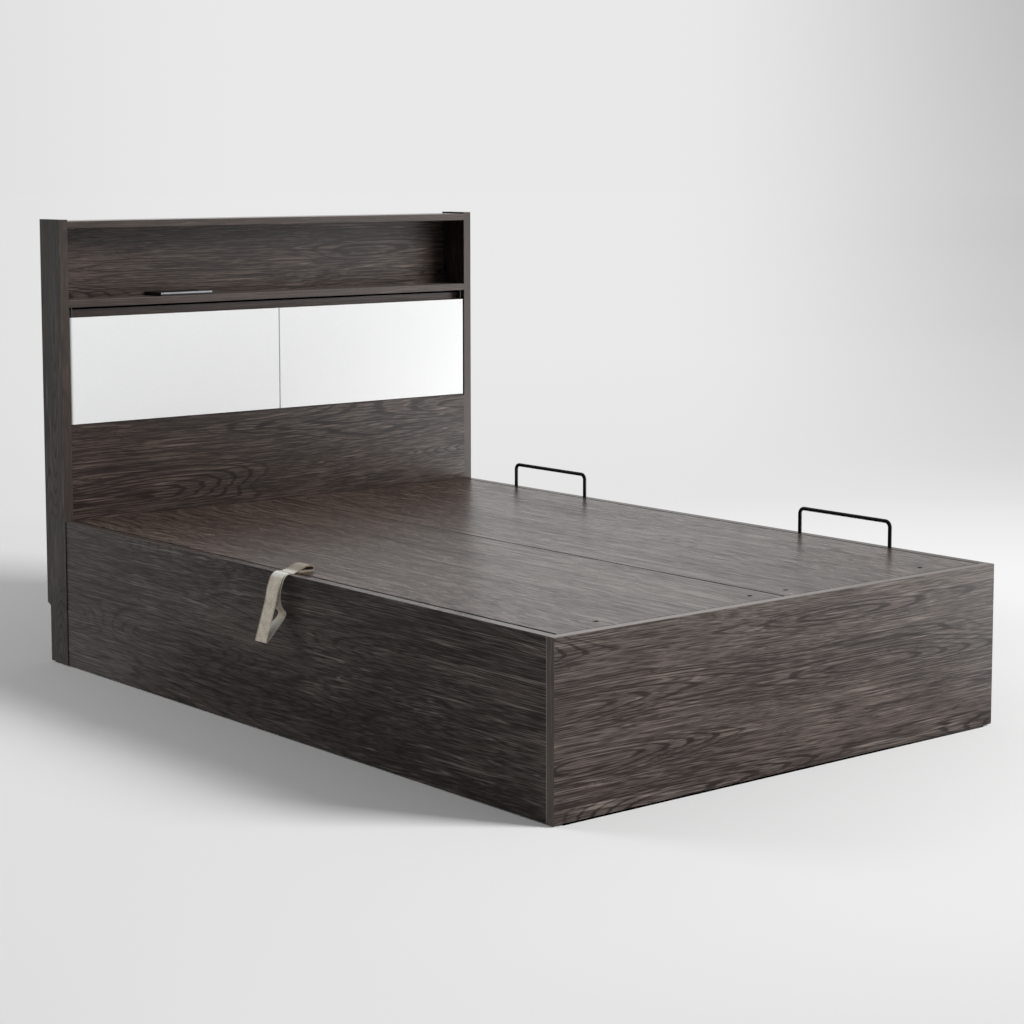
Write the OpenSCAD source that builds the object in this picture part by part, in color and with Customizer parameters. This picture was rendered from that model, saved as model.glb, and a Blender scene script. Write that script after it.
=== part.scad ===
// Side-opening storage platform bed with a shelf headboard.
// Working axes before placing: X = 0 on the bed's centre plane with the opening side at -X,
// Y = 0 on the foot panel's outer face with the headboard at +Y, Z = 0 on the floor.

/* [Box] */
// Width over the two side rails
bed_w = 1386; // [1100:1:1700]
// Length from the foot panel's outer face to the headboard's front
bed_l = 2020; // [1900:1:2200]
// Height of the rails and of the deck's top face
bed_h = 395; // [360:1:480]
// Thickness of a side rail
rail_t = 25; // [18:0.5:32]
// Thickness of the foot panel
foot_t = 25; // [18:0.5:32]
// Height of the glides under the panels
glide_h = 4; // [2:0.5:10]
// Radius of a panel glide
glide_r = 8; // [5:0.5:8.5]
// Thickness of the loose floor panels
floor_t = 9; // [5:0.5:15]
// Thickness of the panel that divides the storage box
divider_t = 18; // [15:0.5:25]
// Bevel on the edges of the thick boards
bevel = 0.8; // [0.3:0.1:2]

/* [Deck] */
// Thickness of the deck boards
deck_t = 15; // [12:0.5:20]
// Gap between the deck and the near rail, which the strap passes through
gap_near = 6; // [5:0.5:10]
// Gap between the deck and the far rail
gap_far = 5; // [4.5:0.5:10]
// Gap between the deck and the foot panel
gap_foot = 2; // [1:0.5:8]
// Gap between the deck and the headboard
gap_head = 4; // [1:0.5:8]
// Gap between the two deck boards
seam = 2; // [1:0.5:6]
// Outer size of the square frame tubes
tube_s = 30; // [25:1:38]
// Wall of the frame tubes
tube_wall = 1.5; // [1:0.5:3]
// Distance from a long deck edge to the frame tube beside it
tube_side = 40; // [34:1:80]
// Distance from an end panel's inner face to the frame's end tube
tube_end = 37; // [36:1:60]
// Distance of the inner deck screws from the seam
screw_in = 57; // [30:1:120]
// Distance of the outer deck screws from the deck's long edges
screw_out = 150; // [80:1:200]
// Radius of a deck screw's head
screw_head_r = 4.5; // [3.5:0.1:6]
// Radius of a deck screw's shank
screw_r = 2.5; // [1.5:0.1:3]
// Height of the support cleats
cleat_h = 20; // [15:1:30]
// Width of the near rail's cleats
cleat_w = 22; // [16:0.5:30]
// Thickness of the end cleats
cleat_end_t = 12; // [8:0.5:13]

/* [Headboard] */
// Overall height of the headboard sides
head_h = 1203; // [1050:1:1400]
// Depth of the headboard
head_d = 106; // [95:1:200]
// Thickness of the headboard sides
side_t = 25; // [18:0.5:32]
// Distance that each headboard side stands outside its rail
side_proud = 2; // [0:0.5:10]
// Distance from the top of the sides down to the top board
top_drop = 4.5; // [0:0.5:20]
// Thickness of the top and shelf boards
shelf_t = 19.5; // [15:0.5:28]
// Height of the shelf's top face
shelf_z = 988; // [960:1:1040]
// Height of the finger groove between the shelf and the doors
groove_h = 27; // [20:0.5:45]
// Distance of the groove strip behind the front
groove_set = 27; // [20:0.5:36]
// Thickness of the groove strip
strip_t = 12; // [8:0.5:14]
// Overlap of the groove strip below the top of the doors
strip_lap = 11; // [5:0.5:40]
// Height of the top of the lower panel
panel_top = 653; // [560:1:720]
// Thickness of the lower panel, the cupboard floor and the cupboard divider
panel_t = 18; // [15:0.5:20]
// Thickness of the back panel
back_t = 5; // [3:0.5:9]
// Depth of the skirting notch at the rear of the sides
notch_d = 16; // [8:0.5:40]
// Height of the skirting notch
notch_h = 163; // [60:1:220]

/* [Doors] */
// Thickness of the doors
door_t = 16; // [12:0.5:17]
// Gap below the doors
door_gap = 2; // [1:0.5:4]
// Gap between a door and its headboard side
door_side_gap = 1.5; // [1:0.5:4]
// Gap between the two doors
door_seam = 3; // [2.5:0.5:6]
// Radius of the door pivot pins
door_pin_r = 3; // [2:0.5:4]
// Length of a door pivot pin inside a door
door_pin_in = 11; // [8:0.5:25]
// Length of a door pivot pin inside the board that holds it
door_pin_seat = 10; // [6:0.5:14]

/* [Lift] */
// Distance of the lift hinge from the deck's far edge
pivot_in = 90; // [85:1:140]
// Distance of the lift hinge below the deck's top face
pivot_drop = 25; // [24.5:0.5:27]
// Radius of the hinge pins
pivot_r = 5; // [3:0.5:6]
// Outer radius of the hinge bushes
bush_r = 8; // [7:0.5:8]
// Length of the hinge bushes
bush_l = 14; // [8:0.5:20]
// Running clearance on the radius of pins and rods
fit = 0.06; // [0.03:0.01:0.1]
// Thickness of the hinge plates
plate_t = 4; // [3:0.5:6]
// Distance from the hinge to the strut pin, across the bed
strut_reach = 260; // [240:1:300]
// Distance of the strut pin below the hinge
strut_drop = 12; // [4:1:15]
// Distance of the strut's base pin towards the opening side of the hinge
base_back = 5; // [0:1:15]
// Distance of the strut's base pin below the hinge
base_drop = 76; // [66:1:90]
// Distance of the strut's centre line from the end panel
strut_off = 25; // [24:0.5:26]
// Outer radius of the gas cylinders
cyl_r = 10; // [8:0.5:10]
// Wall of the gas cylinders
cyl_wall = 2; // [1.5:0.1:2.5]
// Length from the base pin to the cylinder's front end
cyl_len = 180; // [160:1:190]
// Radius of the strut rods
rod_r = 5; // [3.5:0.5:5.5]
// Radius of the strut pins
strut_pin_r = 4; // [3:0.5:5]
// Clearance round the pin in the rod's eye, on the radius
eye_slack = 3.6; // [3.4:0.1:4.5]

/* [Stop bars] */
// Radius of the bent rod
bar_r = 5; // [3:0.5:6]
// Distance between the legs of a bar
bar_span = 308; // [200:1:400]
// Height of a bar above the rail
bar_h = 70; // [50:1:120]
// Bend radius at the rod's centre line
bar_bend = 15; // [8:1:25]
// Depth of the legs inside the rail
bar_seat = 30; // [20:1:60]
// Distance from the foot face to the foot bar's first leg
bar_foot_y = 320; // [150:1:450]
// Distance from the headboard's front to the head bar's nearer leg
bar_head_gap = 235; // [150:1:450]

/* [Pull strap] */
// Width of the webbing
strap_w = 48; // [30:1:60]
// Thickness of one layer of webbing
strap_t = 1.8; // [1:0.1:2.1]
// Distance of the strap from the middle of the box, towards the foot
strap_shift = 42.5; // [-200:0.5:200]

/* [Outlet] */
// Width of the outlet's frame
outlet_w = 164; // [120:1:220]
// Depth of the outlet's frame
outlet_d = 85; // [76:1:86]
// Distance from the bed's centre to the middle of the outlet
outlet_x = 295; // [150:1:450]
// Distance of the outlet's frame from the shelf's front edge
outlet_y = 15; // [5:1:15]
// Height of the frame above the shelf
flange_t = 5; // [3:0.5:8]
// Thickness of the lid
lid_t = 4.4; // [3:0.1:6]
// Depth of the well below the shelf's top face
well_d = 40; // [30:1:50]
// Wall of the well
well_t = 2; // [1.5:0.1:3]

/* [Hidden] */

wood = [0.27, 0.25, 0.24];
wood_light = [0.38, 0.36, 0.35];
wood_deck = [0.5, 0.48, 0.47];
steel = [0.12, 0.12, 0.13];
zinc = [0.7, 0.71, 0.73];
webbing = [0.84, 0.81, 0.74];
plastic = [0.06, 0.06, 0.07];
gloss_white = [0.93, 0.94, 0.94];

// planes of the box
xn = -bed_w/2;
xf = bed_w/2;
rail_in_n = xn + rail_t;
rail_in_f = xf - rail_t;
deck_xn = rail_in_n + gap_near;
deck_xf = rail_in_f - gap_far;
deck_yf = foot_t + gap_foot;
deck_yh = bed_l - gap_head;
deck_z = bed_h - deck_t;
tube_z = deck_z - tube_s;
seam_x = (deck_xn + deck_xf)/2;
tube_xn = deck_xn + tube_side;
tube_xf = deck_xf - tube_side;
tube_yf = foot_t + tube_end;
tube_yh = bed_l - tube_end;
mid_y = (foot_t + bed_l)/2;
strap_y = mid_y - strap_shift;
bar_head_y = bed_l - bar_head_gap - bar_span;
cleat_z = deck_z - cleat_h;

// headboard planes
hx = bed_w/2 + side_proud - side_t;
back_y = bed_l + head_d - back_t;
top_z = head_h - top_drop;
groove_z = shelf_z - shelf_t;
door_top = groove_z - groove_h;
door_r = door_t/2;
door_x = hx - door_side_gap - door_r;
door_y = bed_l + door_r;
door_z = panel_top + door_gap;
divider_y = bed_l + panel_t + 2;

// lift linkage
pivot_x = deck_xf - pivot_in;
pivot_z = bed_h - pivot_drop;
pin_x = pivot_x - strut_reach;
pin_z = pivot_z - strut_drop;
base_x = pivot_x - base_back;
base_z = pivot_z - base_drop;
strut_ang = atan2(pin_z - base_z, pin_x - base_x);
strut_len = norm([pin_x - base_x, pin_z - base_z]);
eye_t = 6;
eye_or = strut_pin_r + eye_slack + 4.4;

// support clear of the swinging far edge
far_clear = pivot_x - 43;

// pull strap: webbing route beside the rail's top edge, x from the near face, z from the rail's top
web_lift = 0.3;
double_c = strap_t + web_lift;
fold_x = -63.2;
fold_z = -153.6;
fold_r = 1;
hang_front = [[2, 1.5*strap_t + web_lift], [-6, 2.4], [-13, -1.5], [-20, -9.5], [-29.5, -33],
    [-35.5, -60], [-43.5, -86], [-53, -117]];
hang_back = [[-48, -139.5], [-30, -121], [-16, -105], [-9.5, -90.6], [-18.5, -77], [-24.5, -62],
    [-25, -50], [-22.5, -33.8], [-15.5, -13], [-10.2, -5], [-4.2, 0.2],
    [2, 0.5*strap_t + web_lift]];
strap_out = fold_r + strap_t/2 - fold_x;
clamp_w = strap_w + 20;
clamp_x = deck_xn + 17;
clamp_y = strap_w/2 + 5;
cleat_break = clamp_w/2 + 16;

// outlet
ox0 = -outlet_x - outlet_w/2;
ox1 = -outlet_x + outlet_w/2;
oy0 = bed_l + outlet_y;
oy1 = oy0 + outlet_d;
lid_z = shelf_z + flange_t + 0.4;
hinge_y = oy1 - 4;
hinge_z = lid_z + lid_t/2;
well_x0 = ox0 + 7;
well_x1 = ox1 - 7;
well_y0 = bed_l + groove_set + strip_t + 5;
well_y1 = oy1 - 6;
lid_pin_r = 1;

// the whole bed stands with the middle of its overall box at the origin
x_shift = (strap_out - side_proud)/2;
y_shift = -(bed_l + head_d)/2;

module placed() translate([x_shift, y_shift, 0]) children();

// an end's own axes: Y measured from the end panel's inner face into the box
module at_foot() translate([0, foot_t, 0]) children();
module at_head() translate([0, bed_l, 0]) mirror([0, 1, 0]) children();

function bevelled(w, h, c) = [[c, 0], [w - c, 0], [w, c], [w, h - c], [w - c, h], [c, h],
    [0, h - c], [0, c]];
function arc(cx, cy, r, a0, a1, n = 8) =
    [for (i = [0:n]) [cx + r*cos(a0 + (a1 - a0)*i/n), cy + r*sin(a0 + (a1 - a0)*i/n)]];

// a bevelled board that runs along Y, X or Z
module board_y(x0, x1, y0, y1, z0, z1, c = bevel)
    translate([x0, y1, z0]) rotate([90, 0, 0])
        linear_extrude(y1 - y0) polygon(bevelled(x1 - x0, z1 - z0, c));
module board_x(x0, x1, y0, y1, z0, z1, c = bevel)
    translate([x0, y0, z0]) rotate([90, 0, 90])
        linear_extrude(x1 - x0) polygon(bevelled(y1 - y0, z1 - z0, c));
module block(x0, x1, y0, y1, z0, z1) translate([x0, y0, z0]) cube([x1 - x0, y1 - y0, z1 - z0]);
module rod_x(x0, x1, y, z, r) translate([x0, y, z]) rotate([0, 90, 0])
    cylinder(h = x1 - x0, r = r, $fn = 64);
module rod_y(x, y0, y1, z, r) translate([x, y1, z]) rotate([90, 0, 0])
    cylinder(h = y1 - y0, r = r, $fn = 64);
module rod_z(x, y, z0, z1, r) translate([x, y, z0]) cylinder(h = z1 - z0, r = r, $fn = 64);

// ---- carcass ----
module side_rail_near() color(wood) placed()
    board_y(xn, rail_in_n, foot_t, bed_l, glide_h, bed_h);

module side_rail_far() color(wood) placed() difference() {
    board_y(rail_in_f, xf, foot_t, bed_l, glide_h, bed_h);
    for (y = [bar_foot_y, bar_foot_y + bar_span, bar_head_y, bar_head_y + bar_span])
        rod_z(xf - rail_t/2, y, bed_h - bar_seat, bed_h + 1, bar_r + fit);
}

module foot_panel() color(wood_light) placed() board_x(xn, xf, 0, foot_t, glide_h, bed_h);

module headboard_side() {
    c = bevel;
    translate([0, bed_l, 0]) rotate([90, 0, 90]) linear_extrude(side_t)
        polygon([[c, glide_h], [head_d - notch_d, glide_h],
            [head_d - notch_d, notch_h - notch_d/2], [head_d, notch_h],
            [head_d, head_h - c], [head_d - c, head_h], [c, head_h], [0, head_h - c],
            [0, glide_h + c]]);
}
module headboard_side_near() color(wood) placed()
    translate([-hx - side_t, 0, 0]) headboard_side();
module headboard_side_far() color(wood) placed() translate([hx, 0, 0]) headboard_side();
module headboard_top() color(wood) placed()
    board_x(-hx, hx, bed_l, bed_l + head_d, top_z - shelf_t, top_z);
module headboard_shelf() color(wood) placed() difference() {
    board_x(-hx, hx, bed_l, back_y, groove_z, shelf_z);
    block(well_x0 - 1, well_x1 + 1, well_y0 - 1, well_y1 + 1, groove_z - 1, shelf_z + 1);
    for (s = [-1, 1])
        rod_z(s*door_x, door_y, groove_z - 1, groove_z + door_pin_seat, door_pin_r + 0.02);
}
module headboard_back() color(wood) placed()
    block(-hx, hx, back_y, back_y + back_t, notch_h + 4, top_z - shelf_t);
module groove_strip() color(wood) placed()
    block(-hx, hx, bed_l + groove_set, bed_l + groove_set + strip_t, door_top - strip_lap,
        groove_z);
module headboard_lower_panel() color(wood) placed() difference() {
    board_x(-hx, hx, bed_l, bed_l + panel_t, glide_h, panel_top);
    for (s = [-1, 1])
        rod_z(s*door_x, door_y, panel_top - door_pin_seat, panel_top + 1, door_pin_r + 0.02);
}
module cupboard_floor() color(wood) placed()
    block(-hx, hx, bed_l + panel_t, back_y, panel_top - panel_t, panel_top);
module cupboard_divider() color(wood) placed()
    translate([-panel_t/2, 0, 0]) rotate([90, 0, 90]) linear_extrude(panel_t)
        polygon([[divider_y, panel_top], [back_y, panel_top], [back_y, groove_z],
            [bed_l + groove_set + strip_t, groove_z],
            [bed_l + groove_set + strip_t, door_top - strip_lap],
            [divider_y, door_top - strip_lap]]);

// catch for the free ends of both doors, and four upright pins that the doors turn on
module door_catch() color(zinc) placed()
    board_x(-15, 15, door_y + door_r + 0.4, divider_y, (door_z + door_top)/2 - 20,
        (door_z + door_top)/2 + 20, 0.5);
module door_pins() color(zinc) placed() for (s = [-1, 1]) {
    rod_z(s*door_x, door_y, panel_top - door_pin_seat, door_z + door_pin_in, door_pin_r);
    rod_z(s*door_x, door_y, door_top - door_pin_in, groove_z + door_pin_seat, door_pin_r);
}

// ---- storage box ----
module storage_divider() color(wood) placed()
    translate([0, mid_y + divider_t/2, 0]) rotate([90, 0, 0]) linear_extrude(divider_t)
        polygon([[rail_in_n, glide_h], [rail_in_f, glide_h], [rail_in_f, base_z - 24],
            [far_clear + 20, base_z - 24], [far_clear, base_z - 4], [far_clear, tube_z],
            [rail_in_n, tube_z]]);
module floor_panel_foot() color(wood_light) placed()
    block(rail_in_n, rail_in_f, foot_t, mid_y - divider_t/2, glide_h, glide_h + floor_t);
module floor_panel_head() color(wood_light) placed()
    block(rail_in_n, rail_in_f, mid_y + divider_t/2, bed_l, glide_h, glide_h + floor_t);
module cleat_near_foot() color(wood) placed()
    board_y(rail_in_n, rail_in_n + cleat_w, foot_t + cleat_end_t, strap_y - cleat_break,
        cleat_z, deck_z, 0.5);
module cleat_near_head() color(wood) placed()
    board_y(rail_in_n, rail_in_n + cleat_w, strap_y + cleat_break, bed_l - cleat_end_t,
        cleat_z, deck_z, 0.5);
module end_cleat() board_x(rail_in_n, far_clear, 0, cleat_end_t, cleat_z, deck_z, 0.5);
module cleat_foot() color(wood) placed() at_foot() end_cleat();
module cleat_head() color(wood) placed() at_head() end_cleat();

// folded steel angle in the corner of the box, X and Y measured from the corner
module corner_bracket() {
    l = 40;
    t = 2.5;
    z0 = 100;
    difference() {
        translate([0, 0, z0]) linear_extrude(60)
            polygon(concat([[0, 0], [l, 0], [l, t]], arc(t + 3, t + 3, 3, 270, 180, 6),
                [[t, l], [0, l]]));
        for (z = [z0 + 15, z0 + 45]) {
            rod_y(27, -1, t + 1, z, 2.7);
            rod_x(-1, t + 1, 27, z, 2.7);
        }
    }
}
module corner_bracket_near_foot() color(zinc) placed() at_foot()
    translate([rail_in_n, 0, 0]) corner_bracket();
module corner_bracket_far_foot() color(zinc) placed() at_foot()
    translate([rail_in_f, 0, 0]) mirror([1, 0, 0]) corner_bracket();
module corner_bracket_near_head() color(zinc) placed() at_head()
    translate([rail_in_n, 0, 0]) corner_bracket();
module corner_bracket_far_head() color(zinc) placed() at_head()
    translate([rail_in_f, 0, 0]) mirror([1, 0, 0]) corner_bracket();

module glides() color(plastic) placed() {
    for (x = [-1, -1/3, 1/3, 1]) rod_z(x*(bed_w/2 - rail_t), foot_t/2, 0, glide_h, glide_r);
    for (s = [-1, 1], t = [0.22, 0.5, 0.8])
        rod_z(s*(bed_w/2 - rail_t/2), t*bed_l, 0, glide_h, glide_r);
    for (s = [-1, 1], y = [14, head_d - notch_d - 14])
        rod_z(s*(hx + side_t/2), bed_l + y, 0, glide_h, glide_r);
    for (x = [-0.42, 0, 0.42]) rod_z(x*bed_w, mid_y, 0, glide_h, glide_r);
    for (s = [-1, 1]) rod_z(s*hx/2, bed_l + panel_t/2, 0, glide_h, glide_r);
    for (x = [-0.3, 0.3], t = [0.25, 0.75]) rod_z(x*bed_w, t*bed_l, 0, glide_h, 2*glide_r);
}

// ---- mattress stop bars: bent round rod seated in the far rail's top edge ----
module stop_bar(y0) {
    x = xf - rail_t/2;
    y1 = y0 + bar_span;
    zt = bed_h + bar_h - bar_r;
    zb = zt - bar_bend;
    rod_z(x, y0, bed_h - bar_seat, zb, bar_r);
    rod_z(x, y1, bed_h - bar_seat, zb, bar_r);
    rod_y(x, y0 + bar_bend, y1 - bar_bend, zt, bar_r);
    translate([x, y0 + bar_bend, zb]) rotate([90, 0, 90]) rotate([0, 0, 90])
        rotate_extrude(angle = 90, $fn = 64) translate([bar_bend, 0]) circle(bar_r, $fn = 32);
    translate([x, y1 - bar_bend, zb]) rotate([90, 0, 90])
        rotate_extrude(angle = 90, $fn = 64) translate([bar_bend, 0]) circle(bar_r, $fn = 32);
}
module stop_bar_foot() color(steel) placed() stop_bar(bar_foot_y);
module stop_bar_head() color(steel) placed() stop_bar(bar_head_y);

// ---- lift hinge and gas struts, in an end's own axes ----
// the plate's top is round about the hinge, so the deck's underside swings past it
module lift_plate() difference() {
    union() {
        translate([pivot_x, plate_t, pivot_z]) rotate([90, 0, 0]) linear_extrude(plate_t)
            polygon(concat(arc(0, 0, bush_r + 1, 0, 180, 16),
                [[-bush_r - 25, -base_drop + 20]], arc(-30, -base_drop - 26, 6, 180, 270, 4),
                arc(26, -base_drop - 26, 6, 270, 360, 4), [[32, -base_drop + 14]]));
        rod_y(pivot_x, plate_t - 1, plate_t + bush_l, pivot_z, bush_r);
        rod_y(base_x, plate_t - 1, strut_off + 9, base_z, strut_pin_r);
    }
    rod_y(pivot_x, plate_t + 1, plate_t + bush_l + 1, pivot_z, pivot_r + fit);
    for (p = [[-20, -46], [-24, -base_drop - 18], [20, -base_drop - 18]])
        rod_y(pivot_x + p[0], -1, plate_t + 1, pivot_z + p[1], 2.7);
}
module hinge_pin() rod_y(pivot_x, plate_t + 2, tube_end, pivot_z, pivot_r);
module strut_pin() {
    rod_y(pin_x, strut_off - eye_t/2 - 5, tube_end, pin_z, strut_pin_r);
    rod_y(pin_x, strut_off - eye_t/2 - 1.7, strut_off - eye_t/2 - 0.2, pin_z, eye_or - 1.5);
    rod_y(pin_x, strut_off + eye_t/2 + 0.2, strut_off + eye_t/2 + 1.7, pin_z, eye_or - 1.5);
}
module strut_axes() translate([base_x, strut_off, base_z]) rotate([0, -strut_ang, 0]) children();
module gas_cylinder() strut_axes() difference() {
    union() {
        rod_y(0, -7, 7, 0, strut_pin_r + 6);
        rod_x(8, 18, 0, 0, cyl_r - 4);
        rod_x(15, cyl_len, 0, 0, cyl_r);
    }
    rod_y(0, -8, 8, 0, strut_pin_r + fit);
    rod_x(22, cyl_len - 8, 0, 0, cyl_r - cyl_wall);
    rod_x(cyl_len - 9, cyl_len + 1, 0, 0, rod_r + fit);
}
module gas_rod() strut_axes() difference() {
    union() {
        rod_x(40, 53, 0, 0, cyl_r - cyl_wall - 0.1);
        rod_x(52, strut_len - eye_or - 6, 0, 0, rod_r);
        block(strut_len - eye_or - 10, strut_len, -eye_t/2, eye_t/2, -rod_r - 1, rod_r + 1);
        rod_y(strut_len, -eye_t/2, eye_t/2, 0, eye_or);
    }
    rod_y(strut_len, -eye_t, eye_t, 0, strut_pin_r + eye_slack);
}
module lift_plate_foot() color(steel) placed() at_foot() lift_plate();
module lift_plate_head() color(steel) placed() at_head() lift_plate();
module hinge_pin_foot() color(zinc) placed() at_foot() hinge_pin();
module hinge_pin_head() color(zinc) placed() at_head() hinge_pin();
module strut_pin_foot() color(zinc) placed() at_foot() strut_pin();
module strut_pin_head() color(zinc) placed() at_head() strut_pin();
module gas_cylinder_foot() color(steel) placed() at_foot() gas_cylinder();
module gas_cylinder_head() color(steel) placed() at_head() gas_cylinder();
module gas_rod_foot() color(zinc) placed() at_foot() gas_rod();
module gas_rod_head() color(zinc) placed() at_head() gas_rod();

// ---- deck ----
screw_x = [deck_xn + screw_out, seam_x - screw_in, seam_x + screw_in, deck_xf - screw_out];
screw_y = [tube_yf + tube_s/2, tube_yh - tube_s/2];
module deck_screw_holes() for (x = screw_x, y = screw_y) {
    rod_z(x, y, deck_z - 1, bed_h + 1, screw_r + 0.1);
    rod_z(x, y, bed_h - 2, bed_h + 1, screw_head_r + 0.1);
}
module deck_board(x0, x1) difference() {
    board_y(x0, x1, deck_yf, deck_yh, deck_z, bed_h, 0.6);
    deck_screw_holes();
}
module deck_board_near() color(wood_deck) placed() difference() {
    deck_board(deck_xn, seam_x - seam/2);
    for (s = [-1, 1])
        rod_z(clamp_x, strap_y + s*clamp_y, deck_z - 1, deck_z + 10, 2.1);
}
module deck_board_far() color(wood_deck) placed() deck_board(seam_x + seam/2, deck_xf);
module deck_screws() color(steel) placed() for (x = screw_x, y = screw_y) {
    rod_z(x, y, deck_z - tube_wall - 4, bed_h - 1, screw_r);
    rod_z(x, y, bed_h - 2, bed_h - 0.2, screw_head_r);
}
module tube_y(x0, y0, y1) difference() {
    block(x0, x0 + tube_s, y0, y1, tube_z, deck_z);
    block(x0 + tube_wall, x0 + tube_s - tube_wall, y0 - 1, y1 + 1, tube_z + tube_wall,
        deck_z - tube_wall);
}
module tube_x(x0, x1, y0) difference() {
    block(x0, x1, y0, y0 + tube_s, tube_z, deck_z);
    block(x0 - 1, x1 + 1, y0 + tube_wall, y0 + tube_s - tube_wall, tube_z + tube_wall,
        deck_z - tube_wall);
}
module end_tube(y0) difference() {
    tube_x(tube_xn, tube_xf, y0);
    for (x = screw_x, y = screw_y)
        rod_z(x, y, deck_z - tube_wall - 1, deck_z + 1, screw_r + 0.1);
}
module tube_near() color(steel) placed() tube_y(tube_xn, tube_yf + tube_s, tube_yh - tube_s);
module tube_far() color(steel) placed()
    tube_y(tube_xf - tube_s, tube_yf + tube_s, tube_yh - tube_s);
module tube_foot() color(steel) placed() end_tube(tube_yf);
module tube_head() color(steel) placed() end_tube(tube_yh - tube_s);
module cross_tube(y) tube_x(tube_xn + tube_s, tube_xf - tube_s, y - tube_s/2);
module tube_cross_foot() color(steel) placed() cross_tube((tube_yf + mid_y)/2);
module tube_cross_mid() color(steel) placed() cross_tube(mid_y);
module tube_cross_head() color(steel) placed() cross_tube((tube_yh + mid_y)/2);

// ---- pull strap: doubled webbing from under the deck, a slack fold on the deck, over the rail ----
function spline_at(a, b, c, d, t) = 0.5*((2*b) + (c - a)*t + (2*a - 5*b + 4*c - d)*t*t
    + (3*b - a - 3*c + d)*t*t*t);
function spline(p, n) = [for (i = [0:len(p) - 2], k = [0:n - 1])
    spline_at(p[max(i - 1, 0)], p[i], p[i + 1], p[min(i + 2, len(p) - 1)], k/n),
    p[len(p) - 1]];
function unit(v) = v/norm(v);
function side_of(p, i) = let (d = unit(p[min(i + 1, len(p) - 1)] - p[max(i - 1, 0)])) [-d[1], d[0]];
function ribbon(p, t) = concat([for (i = [0:len(p) - 1]) p[i] + side_of(p, i)*t/2],
    [for (i = [len(p) - 1:-1:0]) p[i] - side_of(p, i)*t/2]);
// deck edge measured from the near face
edge_u = rail_t + gap_near;
strap_double = concat(
    [[edge_u + 30, -deck_t - double_c], [edge_u + 12, -deck_t - double_c]],
    arc(edge_u, -deck_t, double_c, 270, 180, 6),
    arc(edge_u, 0, double_c, 180, 90, 6),
    spline([[edge_u + 6, double_c], [edge_u + 30, double_c], [edge_u + 37.5, double_c + 2.2],
        [edge_u + 39.6, 8.6], [edge_u + 36, 13.1], [edge_u + 27, 15.1], [edge_u + 15, 13.6],
        [edge_u + 4, 9.4], [edge_u - 5, 5.2], [edge_u - 14, 2.9], [rail_t - 12, double_c]], 4),
    [[0.5, double_c]]);
fold_turn = arc(fold_x, fold_z, fold_r, 150, 330, 12);
strap_loop = concat(spline(concat(hang_front, [fold_turn[0]]), 4),
    [for (i = [1:len(fold_turn) - 2]) fold_turn[i]],
    spline(concat([fold_turn[len(fold_turn) - 1]], hang_back), 4));
module pull_strap() color(webbing) placed()
    translate([xn, strap_y + strap_w/2, bed_h]) rotate([90, 0, 0]) linear_extrude(strap_w)
        union() {
            polygon(ribbon(strap_double, 2*strap_t));
            polygon(ribbon(strap_loop, strap_t));
        }
module strap_clamp() color(zinc) placed() {
    zt = deck_z - 2*strap_t - 2*web_lift;
    difference() {
        block(clamp_x - 12, clamp_x + 12, strap_y - clamp_w/2, strap_y + clamp_w/2, zt - 2, zt);
        for (s = [-1, 1]) rod_z(clamp_x, strap_y + s*clamp_y, zt - 3, zt + 1, 2);
    }
    for (s = [-1, 1]) {
        rod_z(clamp_x, strap_y + s*clamp_y, zt - 3, deck_z + 9, 2);
        rod_z(clamp_x, strap_y + s*clamp_y, zt - 4, zt - 2, 4);
    }
}

// ---- headboard doors: the outer end is round about the upright pins ----
module door(s) difference() {
    translate([s*door_x, door_y, door_z]) mirror([s > 0 ? 1 : 0, 0, 0])
        linear_extrude(door_top - door_z)
            polygon(concat(arc(0, 0, door_r, 90, 270, 24),
                arc(door_x - door_seam/2 - 1, -door_r + 1, 1, 270, 360, 4),
                arc(door_x - door_seam/2 - 1, door_r - 1, 1, 0, 90, 4)));
    rod_z(s*door_x, door_y, door_z - 1, door_z + door_pin_in + 1, door_pin_r + fit);
    rod_z(s*door_x, door_y, door_top - door_pin_in - 1, door_top + 1, door_pin_r + fit);
}
module door_near() color(gloss_white) placed() door(-1);
module door_far() color(gloss_white) placed() door(1);

// ---- outlet: flange, well through the shelf, socket block, gland and flip lid ----
ear_w = 4;
module outlet_frame() color(plastic) placed() difference() {
    union() {
        block(ox0, ox1, oy0, oy1, shelf_z, shelf_z + flange_t);
        for (x = [ox0, ox1 - ear_w])
            block(x, x + ear_w, hinge_y - 4, oy1, shelf_z + 1, lid_z + lid_t);
    }
    block(well_x0 + well_t, well_x1 - well_t, well_y0 + well_t, well_y1 - well_t,
        shelf_z - 1, shelf_z + flange_t + 1);
    rod_x(ox0 - 1, ox1 + 1, hinge_y, hinge_z, lid_pin_r + 0.02);
}
module outlet_well() color(plastic) placed() difference() {
    block(well_x0, well_x1, well_y0, well_y1, shelf_z - well_d, shelf_z);
    block(well_x0 + well_t, well_x1 - well_t, well_y0 + well_t, well_y1 - well_t,
        shelf_z - well_d + well_t, shelf_z + 1);
    rod_z(well_x1 - 16, (well_y0 + well_y1)/2, shelf_z - well_d - 1, shelf_z - well_d + well_t + 1,
        4);
}
module outlet_sockets() color(plastic) placed() difference() {
    z0 = shelf_z - well_d + well_t;
    yc = (well_y0 + well_y1)/2;
    block(well_x0 + well_t + 0.3, well_x1 - well_t - 0.3, well_y0 + well_t + 0.3,
        well_y1 - well_t - 0.3, z0, z0 + 14);
    for (x = [well_x0 + 30, well_x0 + 74], s = [-1, 1])
        block(x + s*6.35 - 1, x + s*6.35 + 1, yc - 4, yc + 4, z0 + 4, z0 + 15);
}
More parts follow.
